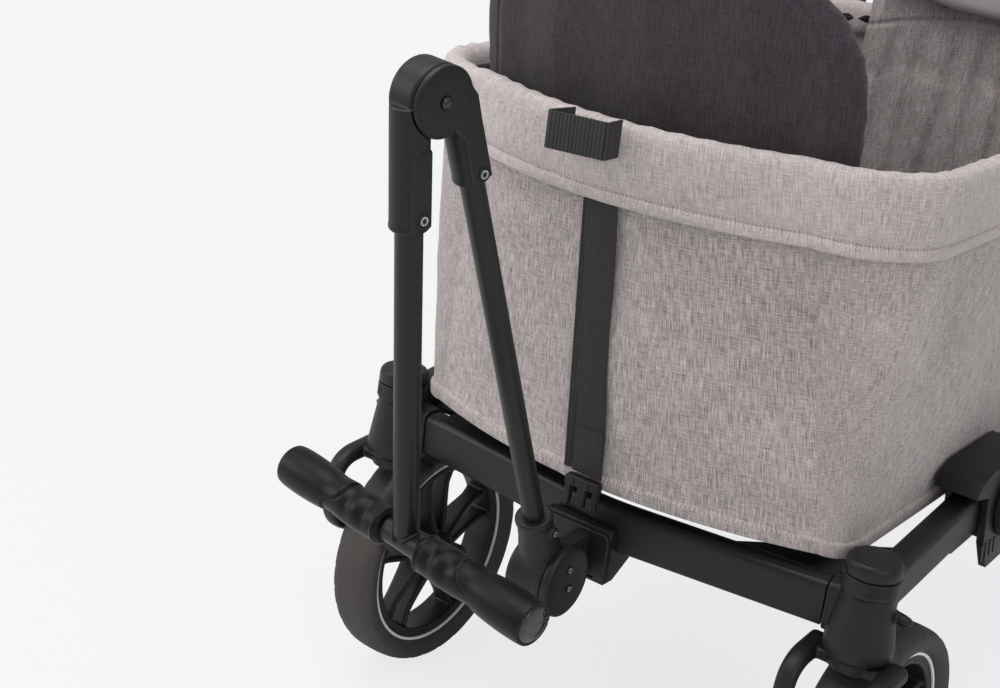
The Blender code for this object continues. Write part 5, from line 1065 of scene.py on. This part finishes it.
foam_profile += [(0.0163, 0.3370), (0.0150, 0.3394), (0.0112, 0.3400)]
foam_grip = lathe("push_grip_foam", foam_profile, (-0.170, top_y, top_z), (1, 0, 0), 64)
fit(foam_grip, foam, "push_handle", "grip_rubber", "push_grip")

# The floor board: a stiff panel in charcoal cloth on the cross tubes, with a quilted top.
charcoal = woven("charcoal_cloth", colour(0.058, 0.046, 0.055), colour(0.013, 0.009, 0.012), grain=1.1)


def points_of(obj):
    points = np.empty(len(obj.data.vertices) * 3)
    obj.data.vertices.foreach_get("co", points)
    return points.reshape(-1, 3)


def flat_map(obj, across, upward):
    """Lays the cloth map flat over a piece, in metres."""
    sheet = obj.data.uv_layers.new(name="cloth")
    corners = np.empty(len(obj.data.loops), np.int32)
    obj.data.loops.foreach_get("vertex_index", corners)
    laid = points_of(obj)[corners] @ np.array((across, upward)).T
    sheet.uv.foreach_set("vector", laid.astype(np.float32).ravel())


board_cloth = copied("basket_floor", "floor_board_cloth")
modify(board_cloth, "REMESH", mode="VOXEL", voxel_size=0.0045)
modify(board_cloth, "SMOOTH", factor=0.5, iterations=5)
flat_map(board_cloth, (1, 0, 0), (0, 1, 0))
fit(smooth(board_cloth, 50), charcoal, "centre_frame", "charcoal_fabric", "basket_floor")


# The two seat backs: stiffened, padded cloth. The front one is charcoal with a side gusset. The rear one is
# heather cloth, gathered into upright pleats under a curved seam. Both are filled by a short cloth run.
CLOTH_FRAMES = 20
SEAT_LEAN = math.radians(9)
SEAT_FOOT_Z = 0.4217


def seat_pad(node, name, cap):
    """A seat back's cover, blown up round its filling and capped at a few millimetres."""
    obj = copied(node, name)
    modify(obj, "REMESH", mode="VOXEL", voxel_size=0.005)
    modify(obj, "SMOOTH", factor=0.5, iterations=3)
    start = points_of(obj)
    pick(obj)
    scene = bpy.context.scene
    scene.frame_start, scene.frame_end = 1, CLOTH_FRAMES
    blown = obj.modifiers.new("filling", "CLOTH")
    blown.settings.use_pressure = True
    blown.settings.uniform_pressure_force = 4
    blown.settings.effector_weights.gravity = 0
    blown.settings.tension_stiffness = blown.settings.compression_stiffness = 22
    blown.point_cache.frame_start, blown.point_cache.frame_end = 1, CLOTH_FRAMES
    for number in range(1, CLOTH_FRAMES + 1):
        scene.frame_set(number)
    bpy.ops.object.modifier_apply(modifier=blown.name)
    scene.frame_set(1)
    moved = points_of(obj) - start
    reach = np.maximum(np.linalg.norm(moved, axis=1, keepdims=True), 1e-9)
    obj.data.vertices.foreach_set("co", (start + moved * np.minimum(1.0, cap / reach)).ravel())
    modify(obj, "SUBSURF", levels=1, render_levels=1)
    return obj


def on_seat(point):
    """(across, up the seat) of a point on a seat back."""
    return point.x, (point.z - SEAT_FOOT_Z) / math.cos(SEAT_LEAN)


def press(obj, depth):
    """Moves the faces of an upright pad in or out by depth(across, up the seat)."""
    facing = [vertex.normal.y for vertex in obj.data.vertices]
    for vertex, turned in zip(obj.data.vertices, facing):
        vertex.co.y += math.copysign(1, turned) * depth(*on_seat(vertex.co)) * min(abs(turned) * 1.5, 1)


def seat_edge(across, up):
    """Distance inside the seat back's outline: straight sides, rounded top corners."""
    height, half, corner = 0.4559, 0.200, 0.115
    if up > height - corner and abs(across) > half - corner:
        return corner - math.hypot(abs(across) - half + corner, up - height + corner)
    return min(half - abs(across), height - up)


front_seat = seat_pad("front_seat_back", "front_seat_cover", 0.006)


def front_relief(across, up):
    """The seam of the side gusset, and soft creases."""
    seam = bump_at(seat_edge(across, up), 0.026, 0.0022)
    broad = 0.0012 * noise.noise(Vector((across * 14, up * 9, 1.0)))
    return broad + 0.0007 * noise.noise(Vector((across * 40, up * 22, 2.0))) - 0.0018 * seam


press(front_seat, front_relief)
flat_map(front_seat, (1, 0, 0), (0, 0.16, 0.99))
fit(front_seat, charcoal, "centre_frame", "charcoal_fabric", "front_seat_back")

rear_seat = seat_pad("rear_seat_back", "rear_seat_cover", 0.008)


def rear_relief(across, up):
    """Upright pleats gathered under the curved seam."""
    arch = 0.300 - 0.9 * across ** 2
    seam = bump_at(up, arch, 0.0035)
    gathered = max(min((arch - up) / 0.05, 1), 0) * max(min(seat_edge(across, up) / 0.02, 1), 0)
    wander = 1.8 * noise.noise(Vector((across * 20, up * 5, 0)))
    pleat = gathered * (0.5 + 0.5 * math.sin(across * 2 * math.pi / 0.040 + wander)) ** 2
    return 0.0016 * noise.noise(Vector((across * 26, up * 12, 4.0))) - 0.0030 * seam - 0.0085 * pleat


press(rear_seat, rear_relief)
flat_map(rear_seat, (1, 0, 0), (0, -0.16, 0.99))
seat_heather = woven("seat_heather", colour(0.40, 0.352, 0.346), colour(0.110, 0.093, 0.091))
fit(rear_seat, seat_heather, "centre_frame", "heather_fabric", "rear_seat_back")


# The harness on each seat back: two ribbed black shoulder straps with sewn pads, and a light grey padded roll
# across them at shoulder height. They are box-stitched to the seat's cover and lie on it.
def webbing(name, shade, ribbed=False):
    """Woven strap: rows of small raised diamonds, or ribs across the strap, with a painted highlight on the
    raised weave and painted shade in its hollows.
    """
    finish = Finish(name)
    across, run = finish.cloth_map()
    pick_pitch, rib_pitch = 2 * math.pi / 0.0058, 2 * math.pi / 0.0036
    one = (across * pick_pitch + run * pick_pitch).sin()
    two = (across * pick_pitch - run * pick_pitch).sin()
    diamond = one * two * 0.5 + 0.5
    rib = (run * rib_pitch).sin() * 0.5 + 0.5
    pattern = rib * 0.75 + diamond * 0.25 if ribbed else diamond
    fuzz = finish.noise(finish.place(), 700.0, 2.0)
    # The colour follows the weave's height: painted highlight on the raised weave, painted shade in its
    # hollows.
    base = finish.mix((pattern * 1.5 + fuzz * 0.5 - 0.5).above(0.0, 1.0), colour(*[c * 0.12 for c in shade]),
                      colour(*[c * 3.6 for c in shade]))
    return finish.shade(base_color=base, roughness=0.62, normal=finish.bump(pattern, 0.9, 0.0009),
                        sheen_weight=0.02, specular_ior_level=0.16)


def strip(name, path, width, thick, up):
    """A flat strap along a path, with its cloth map in metres. up is across the thickness."""
    section = box_section(width, thick, thick * 0.45, thick * 0.45, 3)
    return sweep(name, path, section, up, cloth=(lengths([Vector(p) for p in section]), lengths(path)))


BELT_STEPS = ((0.105, 0.862, 0.001), (0.106, 0.850, 0.004), (0.106, 0.820, 0.006), (0.105, 0.780, 0.008),
              (0.104, 0.740, 0.007), (0.103, 0.722, 0.004))
black_webbing = webbing("black_webbing", (0.0115, 0.0108, 0.0112))
roll_cloth = coating("light_roll", (0.30, 0.275, 0.275), 0.55, 500, 0.00020)
pad_cloth = coating("mesh_pad", (0.030, 0.029, 0.030), 0.85, 900, 0.0003)
for end, sign in (("front", -1), ("rear", 1)):
    foot_y = MIDDLE_Y + sign * 0.358

    def seat_face(x, z, off):
        """A point off the inner face of this seat back."""
        bowed = 0.024 * (1 - (x / 0.2) ** 2)
        return Vector((x, foot_y + sign * ((z - SEAT_FOOT_Z) * math.tan(SEAT_LEAN) + bowed - 0.0135 - off),
                       z))

    for side_name, side in SIDES:
        belt_path = [seat_face(side * x, z, off) for x, z, off in BELT_STEPS]
        belt = strip(f"harness_belt_{end}_{side_name}", belt_path, 0.025, 0.0018, (0, -sign, 0))
        fit(belt, black_webbing, "centre_frame", "webbing")
        pad = sweep(f"harness_pad_{end}_{side_name}", [seat_face(side * 0.105, 0.852 - 0.0075 * i, 0.012)
                                                       for i in range(14)],
                    box_section(0.044, 0.0130, 0.0055, 0.0055), up=(0, -sign, 0),
                    size=lambda t: (1 - 0.16 * (2 * abs(t - 0.5)) ** 6)
                    * (1 - 0.045 * (math.sin(t * 13 * math.pi) ** 8)))
        fit(pad, pad_cloth, "centre_frame", "webbing")
    roll_path = [seat_face(x, 0.750 + 0.014 * (x / 0.15) ** 2, 0.034) for x in np.linspace(-0.168, 0.168, 33)]
    roll = sweep(f"neck_roll_{end}", roll_path, box_section(0.046, 0.034, 0.0150, 0.0150, 6),
                 up=(0, -sign, 0), size=lambda t: (1 - (2 * abs(t - 0.5)) ** 7 * 0.55)
                 * (1 - 0.10 * math.exp(-((abs(t - 0.5) - 0.28) / 0.03) ** 2)))
    fit(roll, roll_cloth, "centre_frame", "heather_fabric")


# The closing strap: black webbing from under the cuff down the front, doubled and sewn above a side-release
# clasp, with a second, loose length behind it. The loop tab on the cuff is a folded band of ribbed webbing.
def wall_y(z):
    return MIDDLE_Y - 0.442 - 0.049 * (z - HEM_Z) / (RIM_Z - HEM_Z)


STRAP_TOP, STRAP_LENGTH = 0.6350, 0.2745
strap_path = []
for t in np.linspace(0, 1, 41):
    z = STRAP_TOP - STRAP_LENGTH * t
    off = 0.0052 + 0.0012 * math.sin(6 * t + 1)
    strap_path.append(Vector((0.0015 * math.sin(9 * t) - 0.001, wall_y(z) - off, z)))
strap = strip("closing_strap_band", strap_path, 0.033, 0.0016, (0, -1, 0))
behind_path = []
for t in np.linspace(0, 1, 31):
    z = STRAP_TOP - STRAP_LENGTH * t
    behind_path.append(Vector((-0.0100 - 0.0060 * t, wall_y(z) - 0.0026, z)))
behind = strip("strap_behind", behind_path, 0.0230, 0.0014, (0.25, -1, 0))
doubled = strip("strap_doubled", [p + Vector((0, -0.0016, 0)) for p in strap_path[33:]], 0.0325, 0.0014,
                (0, -1, 0))
fit(joined([strap, behind, doubled]), black_webbing, "centre_frame", "webbing", "closing_strap")

clasp_y = wall_y(0.345) - 0.0125
parts = [soften(board("clasp_bar", rounded([(-0.0190, 0.3480), (-0.0185, 0.3580), (0.0185, 0.3580),
                                            (0.0190, 0.3480)], 0.003, 4), -0.0048, 0.0048), 0.0012, 3),
         soften(board("clasp_tongue", [(-0.0050, 0.3490), (0.0050, 0.3490), (0.0042, 0.3275),
                                       (-0.0042, 0.3275)], -0.0026, 0.0026), 0.0010, 3)]
for way in (-1, 1):
    arm = [(way * 0.0185, 0.3490), (way * 0.0190, 0.3400), (way * 0.0172, 0.3330), (way * 0.0196, 0.3292),
           (way * 0.0160, 0.3238), (way * 0.0128, 0.3290), (way * 0.0122, 0.3370), (way * 0.0128, 0.3490)]
    parts.append(soften(board("clasp_arm", arm, -0.0030, 0.0030), 0.0010, 3))
    parts.append(soften(board("clasp_rib", [(way * 0.0090, 0.3560), (way * 0.0078, 0.3560),
                                            (way * 0.0078, 0.3500), (way * 0.0090, 0.3500)], -0.0056, 0.0),
                        0.0004, 2))
clasp = joined(parts)
clasp.name = clasp.data.name = "strap_clasp"
clasp.data.transform(Matrix.Translation((0, clasp_y, 0)) @ SWAP_X_Y)
clasp.data.flip_normals()
fit(clasp, plastic_black, "centre_frame", "black_plastic", "strap_buckle")

cuff_y, middle_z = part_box("loop_tab")[1][1], 0.697
loop_path = rounded([(-0.0340, cuff_y - 0.0010, middle_z), (-0.0400, cuff_y - 0.0285, middle_z),
                     (-0.0395, cuff_y - 0.0320, middle_z), (0.0150, cuff_y - 0.0225, middle_z),
                     (0.0158, cuff_y - 0.0200, middle_z), (0.0150, cuff_y - 0.0010, middle_z)], 0.008, 7)
loop = strip("loop_tab_band", loop_path, 0.0335, 0.0022, (0, -1, 0))
fit(loop, webbing("ribbed_webbing", (0.0135, 0.0128, 0.0132), ribbed=True), "centre_frame", "webbing",
    "loop_tab")
